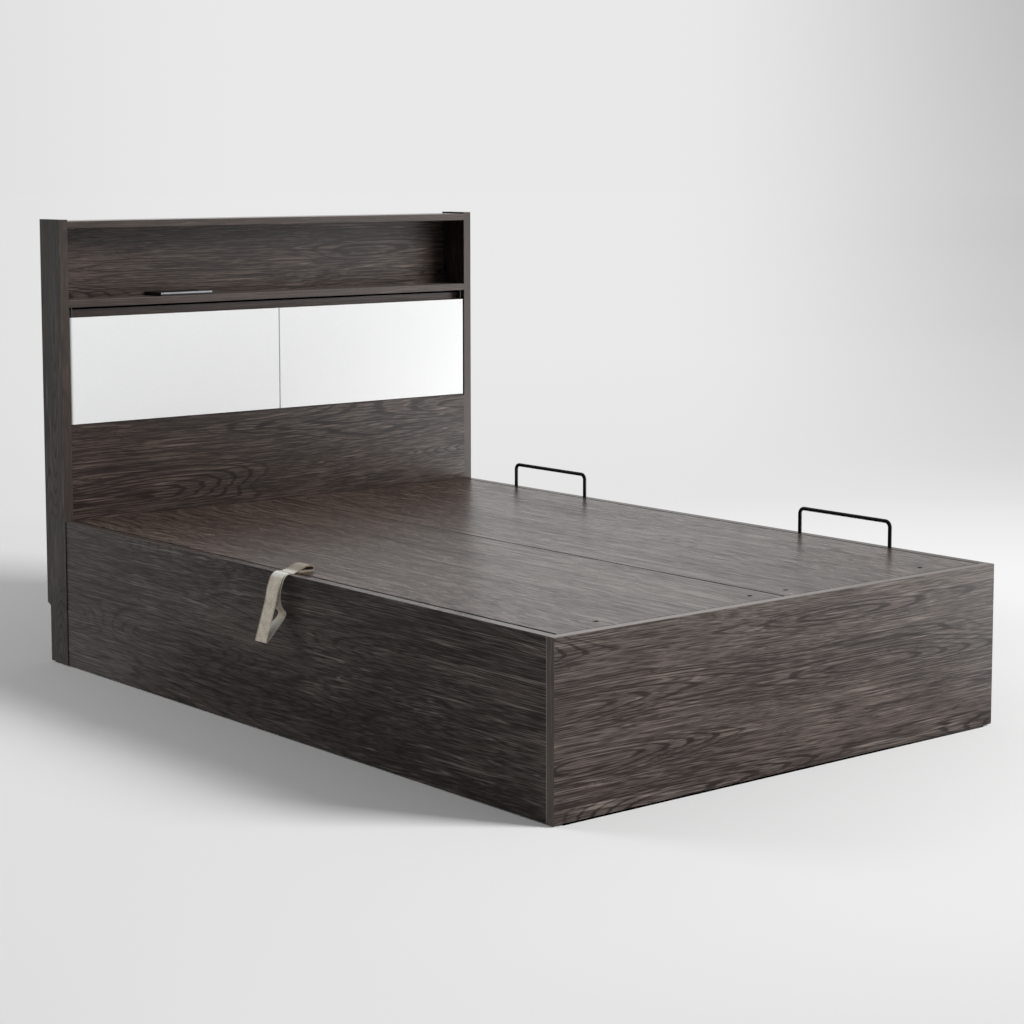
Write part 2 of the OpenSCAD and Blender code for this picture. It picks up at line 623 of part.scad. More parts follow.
module outlet_gland() color(plastic) placed() difference() {
    union() {
        rod_z(well_x1 - 16, (well_y0 + well_y1)/2, shelf_z - well_d - 12, shelf_z - well_d, 7);
        rod_z(well_x1 - 16, (well_y0 + well_y1)/2, shelf_z - well_d - 3, shelf_z - well_d, 9);
    }
    rod_z(well_x1 - 16, (well_y0 + well_y1)/2, shelf_z - well_d - 13, shelf_z - well_d + 1, 4);
}
module outlet_lid_pin() color(zinc) placed() rod_x(ox0, ox1, hinge_y, hinge_z, lid_pin_r);
module outlet_lid() color(plastic) placed() difference() {
    r = lid_t/2;
    union() {
        block(ox0, ox1, oy0 + 2, hinge_y - 6, lid_z, lid_z + lid_t);
        translate([ox0 + ear_w + 0.4, hinge_y, hinge_z]) rotate([90, 0, 90])
            linear_extrude(outlet_w - 2*ear_w - 0.8)
                polygon(concat([[-7, r], [-7, -r]], arc(0, 0, r, 270, 450, 12)));
    }
    rod_x(ox0, ox1, hinge_y, hinge_z, lid_pin_r + fit);
}
module outlet_lid_trim() color(zinc) placed()
    block(ox0, ox1, oy0, oy0 + 2, lid_z - 0.2, lid_z + lid_t);

side_rail_near();
side_rail_far();
foot_panel();
headboard_side_near();
headboard_side_far();
headboard_top();
headboard_shelf();
headboard_back();
groove_strip();
headboard_lower_panel();
cupboard_floor();
cupboard_divider();
door_catch();
door_pins();
storage_divider();
floor_panel_foot();
floor_panel_head();
cleat_near_foot();
cleat_near_head();
cleat_foot();
cleat_head();
corner_bracket_near_foot();
corner_bracket_far_foot();
corner_bracket_near_head();
corner_bracket_far_head();
lift_plate_foot();
lift_plate_head();
stop_bar_foot();
stop_bar_head();
glides();
outlet_frame();
outlet_well();
outlet_sockets();
outlet_gland();
outlet_lid_pin();
deck_board_near();
deck_board_far();
tube_near();
tube_far();
tube_foot();
tube_head();
tube_cross_foot();
tube_cross_mid();
tube_cross_head();
deck_screws();
hinge_pin_foot();
hinge_pin_head();
strut_pin_foot();
strut_pin_head();
pull_strap();
strap_clamp();
gas_cylinder_foot();
gas_rod_foot();
gas_cylinder_head();
gas_rod_head();
door_near();
door_far();
outlet_lid();
outlet_lid_trim();
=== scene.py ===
"""Side-opening storage platform bed: finishes, small fittings, webbing pull strap, light and camera."""
from __future__ import annotations

import logging
import math
from dataclasses import dataclass, field
from enum import Enum
from itertools import accumulate
from typing import ClassVar

import bmesh
import bpy
from mathutils import Matrix, Vector


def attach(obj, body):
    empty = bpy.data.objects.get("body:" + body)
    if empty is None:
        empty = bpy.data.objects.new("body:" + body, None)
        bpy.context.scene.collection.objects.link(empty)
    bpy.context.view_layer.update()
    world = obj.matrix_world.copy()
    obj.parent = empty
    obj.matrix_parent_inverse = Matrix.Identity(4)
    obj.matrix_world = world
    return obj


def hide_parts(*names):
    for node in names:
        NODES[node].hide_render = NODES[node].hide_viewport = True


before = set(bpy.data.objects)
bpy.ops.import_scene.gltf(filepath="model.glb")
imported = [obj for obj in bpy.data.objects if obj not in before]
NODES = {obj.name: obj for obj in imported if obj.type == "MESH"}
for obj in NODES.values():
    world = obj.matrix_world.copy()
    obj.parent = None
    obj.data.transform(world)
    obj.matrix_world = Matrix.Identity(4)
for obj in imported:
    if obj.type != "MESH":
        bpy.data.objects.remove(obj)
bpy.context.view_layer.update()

log = logging.getLogger("platform_bed")
logging.basicConfig(level=logging.INFO, format="%(name)s: %(message)s")

MM = 0.001
FULL_TURN = 2 * math.pi
# a face looks in a direction when the cosine between them is above this
FACING = 0.7
# the specular level of plain dielectrics
PLAIN_SHINE = 0.5
UNLIT = "060606"

Point = tuple[float, float]
Triple = tuple[float, float, float]
Colour = tuple[float, float, float, float]
# cells per metre, alike in all directions or one number for each, and octaves beyond the first
Pattern = tuple[float | Triple, float | None]
Faces = list[tuple[int, ...]]
Tree, Node, Socket = bpy.types.NodeTree, bpy.types.Node, bpy.types.NodeSocket
Material, Object = bpy.types.Material, bpy.types.Object


# ---------------------------------------------------------------- shared helpers

class Grain(Enum):
    """Direction in which a board's figure runs, as the order of axes that puts it first."""

    X = (0, 1, 2)
    Y = (1, 0, 2)
    Z = (2, 0, 1)


@dataclass(frozen=True)
class BedSizes:
    """Planes of the bed in millimetres: X from the centre plane, Y from the foot face, Z from the floor."""

    rail_x: float = 693.0
    rail_t: float = 25.0
    foot_t: float = 25.0
    head_y: float = 2020.0
    rail_z: float = 395.0
    deck_t: float = 15.0
    deck_xn: float = -662.0
    deck_xf: float = 663.0
    seam_x: float = 0.5
    shift_x: float = 31.55
    shift_y: float = -1063.0

    def at(self, x: float, y: float, z: float) -> Vector:
        """Turns bed millimetres (across from the opening side, from the foot, up) into metres."""
        return Vector(((x + self.shift_x) * MM, (y + self.shift_y) * MM, z * MM))


BED = BedSizes()


def linear(hex_colour: str) -> Colour:
    """Turns an sRGB colour into Blender's linear one.

    Args:
        hex_colour: Its six hex digits.

    Returns:
        Red, green, blue and an alpha of one.
    """
    parts = [int(hex_colour[i:i + 2], 16) / 255 for i in (0, 2, 4)]
    red, green, blue = (c / 12.92 if c <= 0.04045 else ((c + 0.055) / 1.055) ** 2.4 for c in parts)
    return (red, green, blue, 1.0)


def feed(node: Node, **inputs: object) -> Node:
    """Fills a node's sockets.

    Args:
        node: The node.
        **inputs: Sockets by name with spaces as underscores, or i0, i1 for a position; a value that is
            a socket is linked and anything else becomes the socket's own value.

    Returns:
        The same node.
    """
    for key, value in inputs.items():
        by_place = key[0] == "i" and key[1:].isdigit()
        socket = node.inputs[int(key[1:]) if by_place else key.replace("_", " ")]
        if isinstance(value, Socket):
            node.id_data.links.new(value, socket)
        else:
            socket.default_value = value
    return node


def add(tree: Tree, kind: str, settings: dict[str, object] | None = None, **inputs: object) -> Node:
    """Adds one node with its settings, values and links.

    Args:
        tree: The tree that gets the node.
        kind: Blender's identifier of the node type.
        settings: Attributes set on the node itself.
        **inputs: Sockets as feed takes them.

    Returns:
        The new node.
    """
    node = tree.nodes.new(kind)
    for key, value in (settings or {}).items():
        setattr(node, key, value)
    return feed(node, **inputs)


def calc(tree: Tree, operation: str, *values: Socket | float, clamp: bool = False) -> Socket:
    """Adds a Math node and returns its result, held between nought and one where clamp is set."""
    given = {f"i{place}": value for place, value in enumerate(values)}
    return add(tree, "ShaderNodeMath", {"operation": operation, "use_clamp": clamp}, **given).outputs[0]


def vector(tree: Tree, operation: str, *values: Socket | Triple) -> Socket:
    """Adds a Vector Math node.

    Args:
        tree: The tree that gets the node.
        operation: The node's operation.
        *values: Its inputs in order.

    Returns:
        Its result, a number for a dot product or a length.
    """
    given = {f"i{place}": value for place, value in enumerate(values)}
    node = add(tree, "ShaderNodeVectorMath", {"operation": operation}, **given)
    return node.outputs["Value" if operation in ("DOT_PRODUCT", "LENGTH", "DISTANCE") else "Vector"]


def weigh(tree: Tree, rest: Socket | float, *parts: tuple[Socket, float]) -> Socket:
    """Adds weighted values to another one.

    Args:
        tree: The tree that gets the nodes.
        rest: What they are added to.
        *parts: Each value with its weight.

    Returns:
        The sum.
    """
    for value, weight in parts:
        rest = calc(tree, "MULTIPLY_ADD", value, weight, rest)
    return rest


def remap(tree: Tree, value: Socket, start: Point, to: Point = (0.0, 1.0), smooth: bool = False) -> Socket:
    """Carries a value from one range to another and holds it there.

    Args:
        tree: The tree that gets the node.
        value: The value.
        start: The range it comes from.
        to: The range it goes to.
        smooth: Whether it eases in and out at the ends.

    Returns:
        The carried value.
    """
    kind = "SMOOTHSTEP" if smooth else "LINEAR"
    return add(tree, "ShaderNodeMapRange", {"interpolation_type": kind}, Value=value, From_Min=start[0],
               From_Max=start[1], To_Min=to[0], To_Max=to[1]).outputs[0]


def noise(tree: Tree, place: Socket, scale: float | Triple, detail: float | None,
          rough: float = 0.5) -> Socket:
    """Adds a noise, or separate cells.

    Args:
        tree: The tree that gets the nodes.
        place: Where it is read, in metres.
        scale: Its cells per metre, alike in all directions or one number for each.
        detail: Its octaves beyond the first, or none for separate cells.
        rough: How strongly each octave counts against the one before.

    Returns:
        The noise, about one half in the middle.
    """
    if detail is None:
        return add(tree, "ShaderNodeTexVoronoi", Vector=place, Scale=scale).outputs["Distance"]
    if isinstance(scale, tuple):
        place = add(tree, "ShaderNodeMapping", Vector=place, Scale=scale).outputs[0]
        scale = 1.0
    return add(tree, "ShaderNodeTexNoise", Vector=place, Scale=scale, Detail=detail,
               Roughness=rough).outputs[0]


def tones(tree: Tree, value: Socket, *stops: tuple[float, Colour]) -> Socket:
    """Colours a value by a ramp.

    Args:
        tree: The tree that gets the node.
        value: The value.
        *stops: Positions with their linear colours, in rising order.

    Returns:
        The colour.
    """
    node = add(tree, "ShaderNodeValToRGB", i0=value)
    elements = node.color_ramp.elements
    while len(elements) > 1:
        elements.remove(elements[-1])
    elements[0].position, elements[0].color = stops[0]
    for position, colour in stops[1:]:
        elements.new(position).color = colour
    return node.outputs[0]


def blend(tree: Tree, share: Socket | float, first: Socket | Colour, second: Socket | Colour,
          kind: str = "MIX") -> Socket:
    """Mixes two colours, the share being how much of the second counts."""
    return add(tree, "ShaderNodeMixRGB", {"blend_type": kind}, Fac=share, Color1=first,
               Color2=second).outputs[0]


def pick(tree: Tree, share: Socket, first: Socket | float, second: Socket | float) -> Socket:
    """Mixes two numbers, the share being how much of the second counts."""
    return add(tree, "ShaderNodeMix", {"data_type": "FLOAT"}, i0=share, i2=first, i3=second).outputs[0]


def split(tree: Tree, place: Socket) -> list[Socket]:
    """Returns the three values of a vector."""
    return list(add(tree, "ShaderNodeSeparateXYZ", i0=place).outputs)


def new_material(name: str, kind: str = "ShaderNodeBsdfPrincipled") -> tuple[Material, Tree, Node]:
    """Makes a material that holds only one shader and its output.

    Args:
        name: The material's name.
        kind: Blender's identifier of the shader's node type.

    Returns:
        The material, its tree and its shader node.
    """
    mat = bpy.data.materials.new(name)
    mat.use_nodes = True
    tree = mat.node_tree
    tree.nodes.clear()
    shader = add(tree, kind)
    add(tree, "ShaderNodeOutputMaterial", i0=shader.outputs[0])
    return mat, tree, shader


def link_object(name: str, data: bpy.types.ID) -> Object:
    """Makes an object and links it to the scene.

    Args:
        name: Its name.
        data: Its mesh, lamp or camera.

    Returns:
        The object.
    """
    obj = bpy.data.objects.new(name, data)
    bpy.context.collection.objects.link(obj)
    return obj


def new_piece(name: str, verts: list[Vector], faces: Faces, mat: Material, smooth: bool = False,
              uv: list[list[Point]] | None = None, closed: bool = True) -> Object:
    """Makes a mesh object at the origin from points in the model's frame.

    Args:
        name: The object's name.
        verts: Points in metres.
        faces: Corners of each face.
        mat: Its finish.
        smooth: Whether its faces are shaded smooth.
        uv: The pattern's place for each face's corners, where it has one.
        closed: Whether it is a closed skin, whose faces are then turned outwards.

    Returns:
        The object, linked to the scene.
    """
    mesh = bpy.data.meshes.new(name)
    mesh.from_pydata([tuple(v) for v in verts], [], faces)
    if uv is not None:
        layer = mesh.uv_layers.new(name="along")
        for poly, corners in zip(mesh.polygons, uv):
            for loop, place in zip(poly.loop_indices, corners):
                layer.data[loop].uv = place
    mesh.materials.append(mat)
    mesh.validate()
    if smooth:
        mesh.shade_smooth()
    if closed:
        bm = bmesh.new()
        bm.from_mesh(mesh)
        bmesh.ops.remove_doubles(bm, verts=bm.verts, dist=1e-7)
        bmesh.ops.recalc_face_normals(bm, faces=bm.faces)
        bm.to_mesh(mesh)
        bm.free()
    return link_object(name, mesh)


def circle(radius: float, count: int, phase: float = 0.0) -> list[Point]:
    """Returns points spaced evenly round a circle, the first one turned by a part of a step."""
    turns = [FULL_TURN * (k + phase) / count for k in range(count)]
    return [(radius * math.cos(a), radius * math.sin(a)) for a in turns]


def skin(rings: list[list[Vector]], ends: bool = True) -> tuple[list[Vector], Faces]:
    """Joins rings of points into a closed skin.

    Args:
        rings: Rings of equally many points.
        ends: Whether the first and the last ring are filled; if not, they are joined to each other.

    Returns:
        The points and the faces.
    """
    rows, n = len(rings), len(rings[0])
    faces: Faces = []
    for i in range(rows - 1 if ends else rows):
        here, there = i * n, (i + 1) % rows * n
        faces += [(here + k, here + (k + 1) % n, there + (k + 1) % n, there + k) for k in range(n)]
    if ends:
        faces += [tuple(range(n)), tuple(reversed(range(rows * n - n, rows * n)))]
    return [point for ring in rings for point in ring], faces


# ---------------------------------------------------------------- finishes

@dataclass(frozen=True)
class FacingTone:
    """A tone laid on the faces that look one way, with the stretch of the board it covers in metres: edge
    bands, and also painted shade and painted highlights.
    """

    direction: Triple
    colour: str
    mix: float
    roughness: float
    zone: tuple[int, float, float] | None = None
    shine: float = 1.0


@dataclass(frozen=True)
class WoodLaminate:
    """Melamine-faced board with a charcoal wood-grain print.

    A satin printed film over particle board: long oval growth figures, fine fibres and pale hairlines, all
    run along the board, with a slight emboss that breaks up the reflection. Noises are given in cells per
    metre, along the grain and across it.
    """

    name: str
    grain: Grain = Grain.Y
    edge: Grain = Grain.Z
    offset: Triple = (0.0, 0.0, 0.0)
    dark: str = "191311"
    mid: str = "312926"
    pale: str = "776d67"
    roughness: float = 0.42
    contrast: float = 0.57
    coarse: float = 0.04
    figure: float = 1.0
    facing_tones: tuple[FacingTone, ...] = ()
    bore_shade: tuple[float, float, float, float, float] | None = None

    def _shade_bores(self, tree: Tree, spot: list[Socket], colour: Socket, shine: Socket) -> tuple[Socket, Socket]:
        """Paints shade, near black and without shine, on the edges of four counterbored screw holes that lie
        evenly round a middle.

        Args:
            tree: The material's tree.
            spot: The place in the piece's own metres.
            colour: The face's colour.
            shine: The face's specular level.

        Returns:
            The colour and the specular level with the painted shade at the holes.
        """
        mid_x, half_x, mid_y, half_y, radius = self.bore_shade
        off_x, off_y = (
            calc(tree, "SUBTRACT", calc(tree, "ABSOLUTE", calc(tree, "SUBTRACT", value, middle)), half)
            for value, middle, half in ((spot[0], mid_x, half_x), (spot[1], mid_y, half_y)))
        gap = add(tree, "ShaderNodeCombineXYZ", i0=off_x, i1=off_y).outputs[0]
        edge = calc(tree, "LESS_THAN", vector(tree, "LENGTH", gap), radius)
        return blend(tree, edge, colour, linear(UNLIT)), pick(tree, edge, shine, 0.0)

    @staticmethod
    def _along(tree: Tree, place: Socket, grain: Grain) -> Socket:
        """Reorders a place so that its first value runs along the grain.

        Args:
            tree: The material's tree.
            place: The place in the piece's own metres.
            grain: The direction that comes first.

        Returns:
            The reordered place.
        """
        parts = split(tree, place)
        first, second, third = (parts[axis] for axis in grain.value)
        return add(tree, "ShaderNodeCombineXYZ", i0=first, i1=second, i2=third).outputs[0]

    @staticmethod
    def _rings(tree: Tree, level: Socket, lines: float, low: float, high: float) -> Socket:
        """Draws dark growth lines along the levels of a noise.

        Args:
            tree: The material's tree.
            level: The noise.
            lines: How many lines the noise's whole range holds.
            low: How far from its mean the lines set in.
            high: How far from its mean they are full.

        Returns:
            One on a line and nought beside it.
        """
        wave = calc(tree, "SINE", calc(tree, "MULTIPLY", level, FULL_TURN * lines))
        line = remap(tree, wave, (0.35, 1.0), smooth=True)
        far = calc(tree, "ABSOLUTE", calc(tree, "SUBTRACT", level, 0.5))
        drawn = calc(tree, "MULTIPLY", line, remap(tree, far, (low, high), smooth=True))
        # at a figure's heart the lines would run together
        heart = remap(tree, far, (high + 0.08, high + 0.14), (1.0, 0.0), smooth=True)
        return calc(tree, "MULTIPLY", drawn, heart)

    def _print(self, tree: Tree, place: Socket) -> Socket:
        """Draws the grain.

        Args:
            tree: The material's tree.
            place: Where it is read, the grain's direction coming first.

        Returns:
            How pale the print is, about 0.45 in the middle.
        """
        # the fibres lean slowly to and fro over 1.2 m; slow cells 1.6 m long and 150 mm wide and eyes 300 mm
        # long and 50 mm wide swell them apart by up to a few centimetres
        lean = noise(tree, place, (0.8, 1.5, 1.5), 0.0)
        swell = noise(tree, place, (0.62, 6.6, 6.6), 1.2, 0.4)
        eye = noise(tree, place, (3.3, 19.0, 19.0), 0.0)
        bulge = weigh(tree, -0.045, (swell, 0.014), (eye, 0.006), (lean, 0.07))
        bend = add(tree, "ShaderNodeCombineXYZ", i1=bulge, i2=bulge).outputs[0]
        flow = vector(tree, "ADD", place, bend)
        # fibres 2.2 mm and 1.6 mm wide, 50 to 250 mm long; the real ones are 0.3 mm, drawn as coarse as shows
        fibre = noise(tree, flow, (4.0, 450.0, 450.0), 1.0, 0.6)
        hair = noise(tree, flow, (20.0, 640.0, 640.0), 1.0, 0.6)
        ragged = noise(tree, flow, (2.6, 110.0, 110.0), 1.0)
        # growth lines about 5 mm apart in the slow cells, and 3 mm apart in the eyes
        growth = self._rings(tree, weigh(tree, swell, (ragged, 0.012)), 54.0, 0.04, 0.1)
        eyes = self._rings(tree, weigh(tree, eye, (ragged, 0.02)), 28.0, 0.13, 0.19)
        # pale hairlines up to 300 mm long and about 2 mm wide, drawn in some places only
        thread = calc(tree, "SUBTRACT", noise(tree, flow, (1.6, 150.0, 150.0), 0.0), 0.5)
        pale_line = remap(tree, calc(tree, "ABSOLUTE", thread), (0.0, 0.05), (1.0, 0.0))
        some = remap(tree, noise(tree, flow, (5.0, 60.0, 60.0), 1.0), (0.48, 0.62))
        cloud = noise(tree, place, (1.0, 5.0, 5.0), 1.0)
        # each noise is about one half in the middle, which the constant takes off again
        k = self.contrast
        fibre_weight, cloud_weight = 1.1 * k, 0.25
        rest = 0.52 - 0.5 * (fibre_weight + k + self.coarse + cloud_weight)
        return weigh(tree, rest, (fibre, fibre_weight), (hair, k), (ragged, self.coarse),
                     (cloud, cloud_weight), (growth, -0.22 * self.figure), (eyes, -0.05 * self.figure),
                     (calc(tree, "MULTIPLY", pale_line, some), 0.3))

    def build(self) -> Material:
        """Returns the board finish."""
        mat, tree, shader = new_material(self.name)
        coord = add(tree, "ShaderNodeTexCoord").outputs
        moved = vector(tree, "ADD", coord["Object"], self.offset)
        face, band = (self._along(tree, moved, way) for way in (self.grain, self.edge))
        endwise = split(tree, self._along(tree, coord["Normal"], self.grain))[0]
        is_end = calc(tree, "GREATER_THAN", calc(tree, "ABSOLUTE", endwise), FACING)
        place = add(tree, "ShaderNodeMix", {"data_type": "VECTOR"}, i0=is_end, i4=face, i5=band)
        value = self._print(tree, place.outputs[1])
        colour = tones(tree, value, (0.1, linear(self.dark)), (0.45, linear(self.mid)),
                       (0.85, linear(self.pale)))
        dull = remap(tree, value, (0.2, 0.8), (self.roughness + 0.05, self.roughness - 0.05))
        # open pores shine less than the film between them
        pore_shine = PLAIN_SHINE - 0.25 * self.contrast
        shine = remap(tree, value, (0.15, 0.7), (pore_shine, PLAIN_SHINE))
        spot = split(tree, coord["Object"])
        for trim in self.facing_tones:
            facing = vector(tree, "DOT_PRODUCT", coord["Normal"], trim.direction)
            on = calc(tree, "GREATER_THAN", facing, FACING)
            if trim.zone is not None:
                axis, low, high = trim.zone
                here = calc(tree, "COMPARE", spot[axis], (low + high) / 2, (high - low) / 2)
                on = calc(tree, "MULTIPLY", on, here)
            colour = blend(tree, calc(tree, "MULTIPLY", on, trim.mix), colour, linear(trim.colour))
            dull = pick(tree, on, dull, trim.roughness)
            shine = pick(tree, on, shine, PLAIN_SHINE * trim.shine)
        if self.bore_shade is not None:
            colour, shine = self._shade_bores(tree, spot, colour, shine)
        bump = add(tree, "ShaderNodeBump", Strength=0.3, Distance=0.0002, Height=value).outputs[0]
        feed(shader, Base_Color=colour, Roughness=dull, Specular_IOR_Level=shine, Normal=bump, IOR=1.48)
        return mat


@dataclass(frozen=True)
class Surface:
    """A plain finish: one pattern tones it, one varies its roughness, and one may raise it a little."""

    name: str
    tone: Pattern
    dark: tuple[float, str]
    light: tuple[float, str]
    gloss: Pattern
    rough: Point
    relief: Pattern | None = None
    strength: float = 0.0
    depth: float = 0.0001
    constants: dict[str, float] = field(default_factory=dict)

    def build(self) -> Material:
        """Returns the finish."""
        mat, tree, shader = new_material(self.name)
        place = add(tree, "ShaderNodeTexCoord").outputs["Object"]
        stops = [(position, linear(colour)) for position, colour in (self.dark, self.light)]
        feed(shader, Base_Color=tones(tree, noise(tree, place, *self.tone), *stops),
             Roughness=remap(tree, noise(tree, place, *self.gloss), (0.0, 1.0), self.rough), **self.constants)
        if self.relief is not None:
            bump = add(tree, "ShaderNodeBump", Strength=self.strength, Distance=self.depth,
                       Height=noise(tree, place, *self.relief))
            feed(shader, Normal=bump.outputs[0])
        return mat


@dataclass(frozen=True)
class Webbing:
    """Flat polyester webbing: cream yarns that cross in a fine herringbone twill. Lengths in metres."""

    name: str = "Cream polyester webbing"
    yarn: str = "c2b7a5"
    gap: str = "776d5f"
    thread: str = "e2dacb"
    deck_end_tone: str = "8d8070"
    # near white, the painted highlight on the bend over the rail
    bend_highlight: str = "fbf9f4"
    end_step: float = 0.0016
    pick_step: float = 0.0026
    chevron: float = 0.006
    half_width: float = 0.024
    middle_y: float = 980.0

    def _weave(self, tree: Tree, place: Socket, stain: Socket) -> Socket:
        """Draws the crossing yarns.

        Args:
            tree: The material's tree.
            place: The place along and across the strap.
            stain: A soft noise that tones it.

        Returns:
            The height of the weave.
        """
        along, across = split(tree, place)[:2]
        warp = calc(tree, "SINE", calc(tree, "MULTIPLY", across, FULL_TURN / self.end_step))
        # the twill leans one way, then the other
        lean = calc(tree, "PINGPONG", across, self.chevron)
        picks = FULL_TURN / self.pick_step
        leaning = calc(tree, "MULTIPLY_ADD", lean, picks, calc(tree, "MULTIPLY", along, picks))
        weft = calc(tree, "SINE", leaning)
        crossed = calc(tree, "MULTIPLY", warp, weft)
        height = calc(tree, "MULTIPLY_ADD", crossed, 0.35, calc(tree, "MAXIMUM", warp, weft))
        # slubs: thicker and thinner picks 5 mm long
        slub = noise(tree, place, (420.0, 200.0, 1.0), 2.0)
        return weigh(tree, -0.35, (stain, 0.9), (slub, 1.1), (height, 0.3))

    def build(self) -> Material:
        """Returns the woven finish: the weave follows the strap; the darker deck end and the painted
        highlight on the bend follow its place on the bed.
        """
        mat, tree, shader = new_material(self.name)
        place = add(tree, "ShaderNodeUVMap", {"uv_map": "along"}).outputs[0]
        coord = add(tree, "ShaderNodeTexCoord").outputs
        spot = split(tree, coord["Object"])
        stain = noise(tree, place, 60.0, 4.0)
        weave = self._weave(tree, place, stain)
        colour = tones(tree, weave, (0.1, linear(self.gap)), (0.6, linear(self.yarn)),
                       (1.0, linear(self.thread)))
        # the end that lies on the deck is toned darker, grey-brown
        reach = (BED.at(-690.0, 0, 0).x, BED.at(-662.0, 0, 0).x)
        inward = remap(tree, spot[0], reach, (0.0, 0.8), smooth=True)
        colour = blend(tree, inward, colour, linear(self.deck_end_tone), "MULTIPLY")
        # the selvedge is a pale thick yarn; the dark line 2 to 3 mm from each edge is partly the groove
        # inside it and partly painted shade where the loop's two strips overlap
        off = calc(tree, "SUBTRACT", spot[1], BED.at(0, self.middle_y, 0).y)
        share = calc(tree, "MULTIPLY", calc(tree, "ABSOLUTE", off), 1 / self.half_width)
        groove = tones(tree, share, (0.85, (1.0, 1.0, 1.0, 1.0)), (0.88, (0.4, 0.38, 0.36, 1.0)),
                       (0.92, (0.45, 0.43, 0.4, 1.0)), (0.95, (1.0, 1.0, 1.0, 1.0)))
        colour = blend(tree, 1.0, colour, groove, "MULTIPLY")
        # painted highlight: near white on the upward faces where it bends over the rail, less towards the
        # deck
        top = remap(tree, split(tree, coord["Normal"])[2], (0.35, 0.8), (0.0, 0.85), smooth=True)
        bent = calc(tree, "SUBTRACT", top, inward, clamp=True)
        bump = add(tree, "ShaderNodeBump", Strength=0.7, Distance=0.0005, Height=weave).outputs[0]
        feed(shader, Base_Color=blend(tree, bent, colour, linear(self.bend_highlight)), Normal=bump, IOR=1.5,
             Roughness=remap(tree, stain, (0.0, 1.0), (0.72, 0.9)), Sheen_Weight=0.25, Sheen_Roughness=0.4)
        return mat


# ---------------------------------------------------------------- repeated fittings

class FastenerTree:
    """A Geometry Nodes tree that sets one screw head on every point of a mesh, turned to the point's axis."""

    def __init__(self, name: str, mat: Material) -> None:
        """Builds the tree.

        Args:
            name: The tree's name.
            mat: The screws' finish.
        """
        tree = bpy.data.node_groups.new(name, "GeometryNodeTree")
        for label, way, kind in (("Points", "INPUT", "Geometry"), ("Head", "INPUT", "Object"),
                                 ("Seed", "INPUT", "Int"), ("Screws", "OUTPUT", "Geometry")):
            tree.interface.new_socket(label, in_out=way, socket_type="NodeSocket" + kind)
        given = add(tree, "NodeGroupInput").outputs
        head = add(tree, "GeometryNodeObjectInfo", {"transform_space": "ORIGINAL"}, Object=given["Head"])
        axis = add(tree, "GeometryNodeInputNamedAttribute", {"data_type": "FLOAT_VECTOR"}, Name="axis")
        stand = add(tree, "FunctionNodeAlignRotationToVector", {"axis": "Z"},
                    Vector=axis.outputs["Attribute"])
        # every driven screw stops at its own angle
        spin = add(tree, "FunctionNodeRandomValue", {"data_type": "FLOAT"}, i2=0.0, i3=FULL_TURN,
                   Seed=given["Seed"])
        turn = add(tree, "ShaderNodeCombineXYZ", i2=spin.outputs[1])
        euler = add(tree, "FunctionNodeEulerToRotation", i0=turn.outputs[0])
        rotate = add(tree, "FunctionNodeRotateRotation", {"rotation_space": "LOCAL"},
                     i0=stand.outputs[0], i1=euler.outputs[0])
        points = add(tree, "GeometryNodeMeshToPoints", i0=given["Points"])
        placed = add(tree, "GeometryNodeInstanceOnPoints", Points=points.outputs[0],
                     Instance=head.outputs["Geometry"], Rotation=rotate.outputs[0])
        solid = add(tree, "GeometryNodeRealizeInstances", i0=placed.outputs[0])
        painted = add(tree, "GeometryNodeSetMaterial", i0=solid.outputs[0], Material=mat)
        add(tree, "NodeGroupOutput", i0=painted.outputs[0])
        self.tree = tree
        self.mat = mat

    def place(self, name: str, spots: list[tuple[Vector, Vector]], head: Object, seed: int) -> Object:
        """Makes one mesh of screws.

        Args:
            name: The piece's name.
            spots: Where each screw's head seats, with the direction that it looks.
            head: The screw that is repeated.
            seed: What the turns are drawn from.

        Returns:
            The finished mesh, free of its modifier.
        """
        points = bpy.data.meshes.new(name + "_points")
        points.from_pydata([tuple(p) for p, _ in spots], [], [])
        points.attributes.new("axis", "FLOAT_VECTOR", "POINT")
        for item, (_, way) in zip(points.attributes["axis"].data, spots):
            item.vector = way.normalized()
        carrier = link_object(name + "_points", points)
        mod = carrier.modifiers.new("screws", "NODES")
        mod.node_group = self.tree
        ids = {s.name: s.identifier for s in self.tree.interface.items_tree if s.in_out == "INPUT"}
        mod[ids["Head"]] = head
        mod[ids["Seed"]] = seed
        graph = bpy.context.evaluated_depsgraph_get()
        graph.update()
        mesh = bpy.data.meshes.new_from_object(carrier.evaluated_get(graph))
        mesh.name = name
        mesh.materials.clear()
        mesh.materials.append(self.mat)
        axis = mesh.attributes.get("axis")
        if axis is not None:
            mesh.attributes.remove(axis)
        bpy.data.objects.remove(carrier)
        bpy.data.meshes.remove(points)
        log.info("%s: %d screws", name, len(spots))
        return link_object(name, mesh)


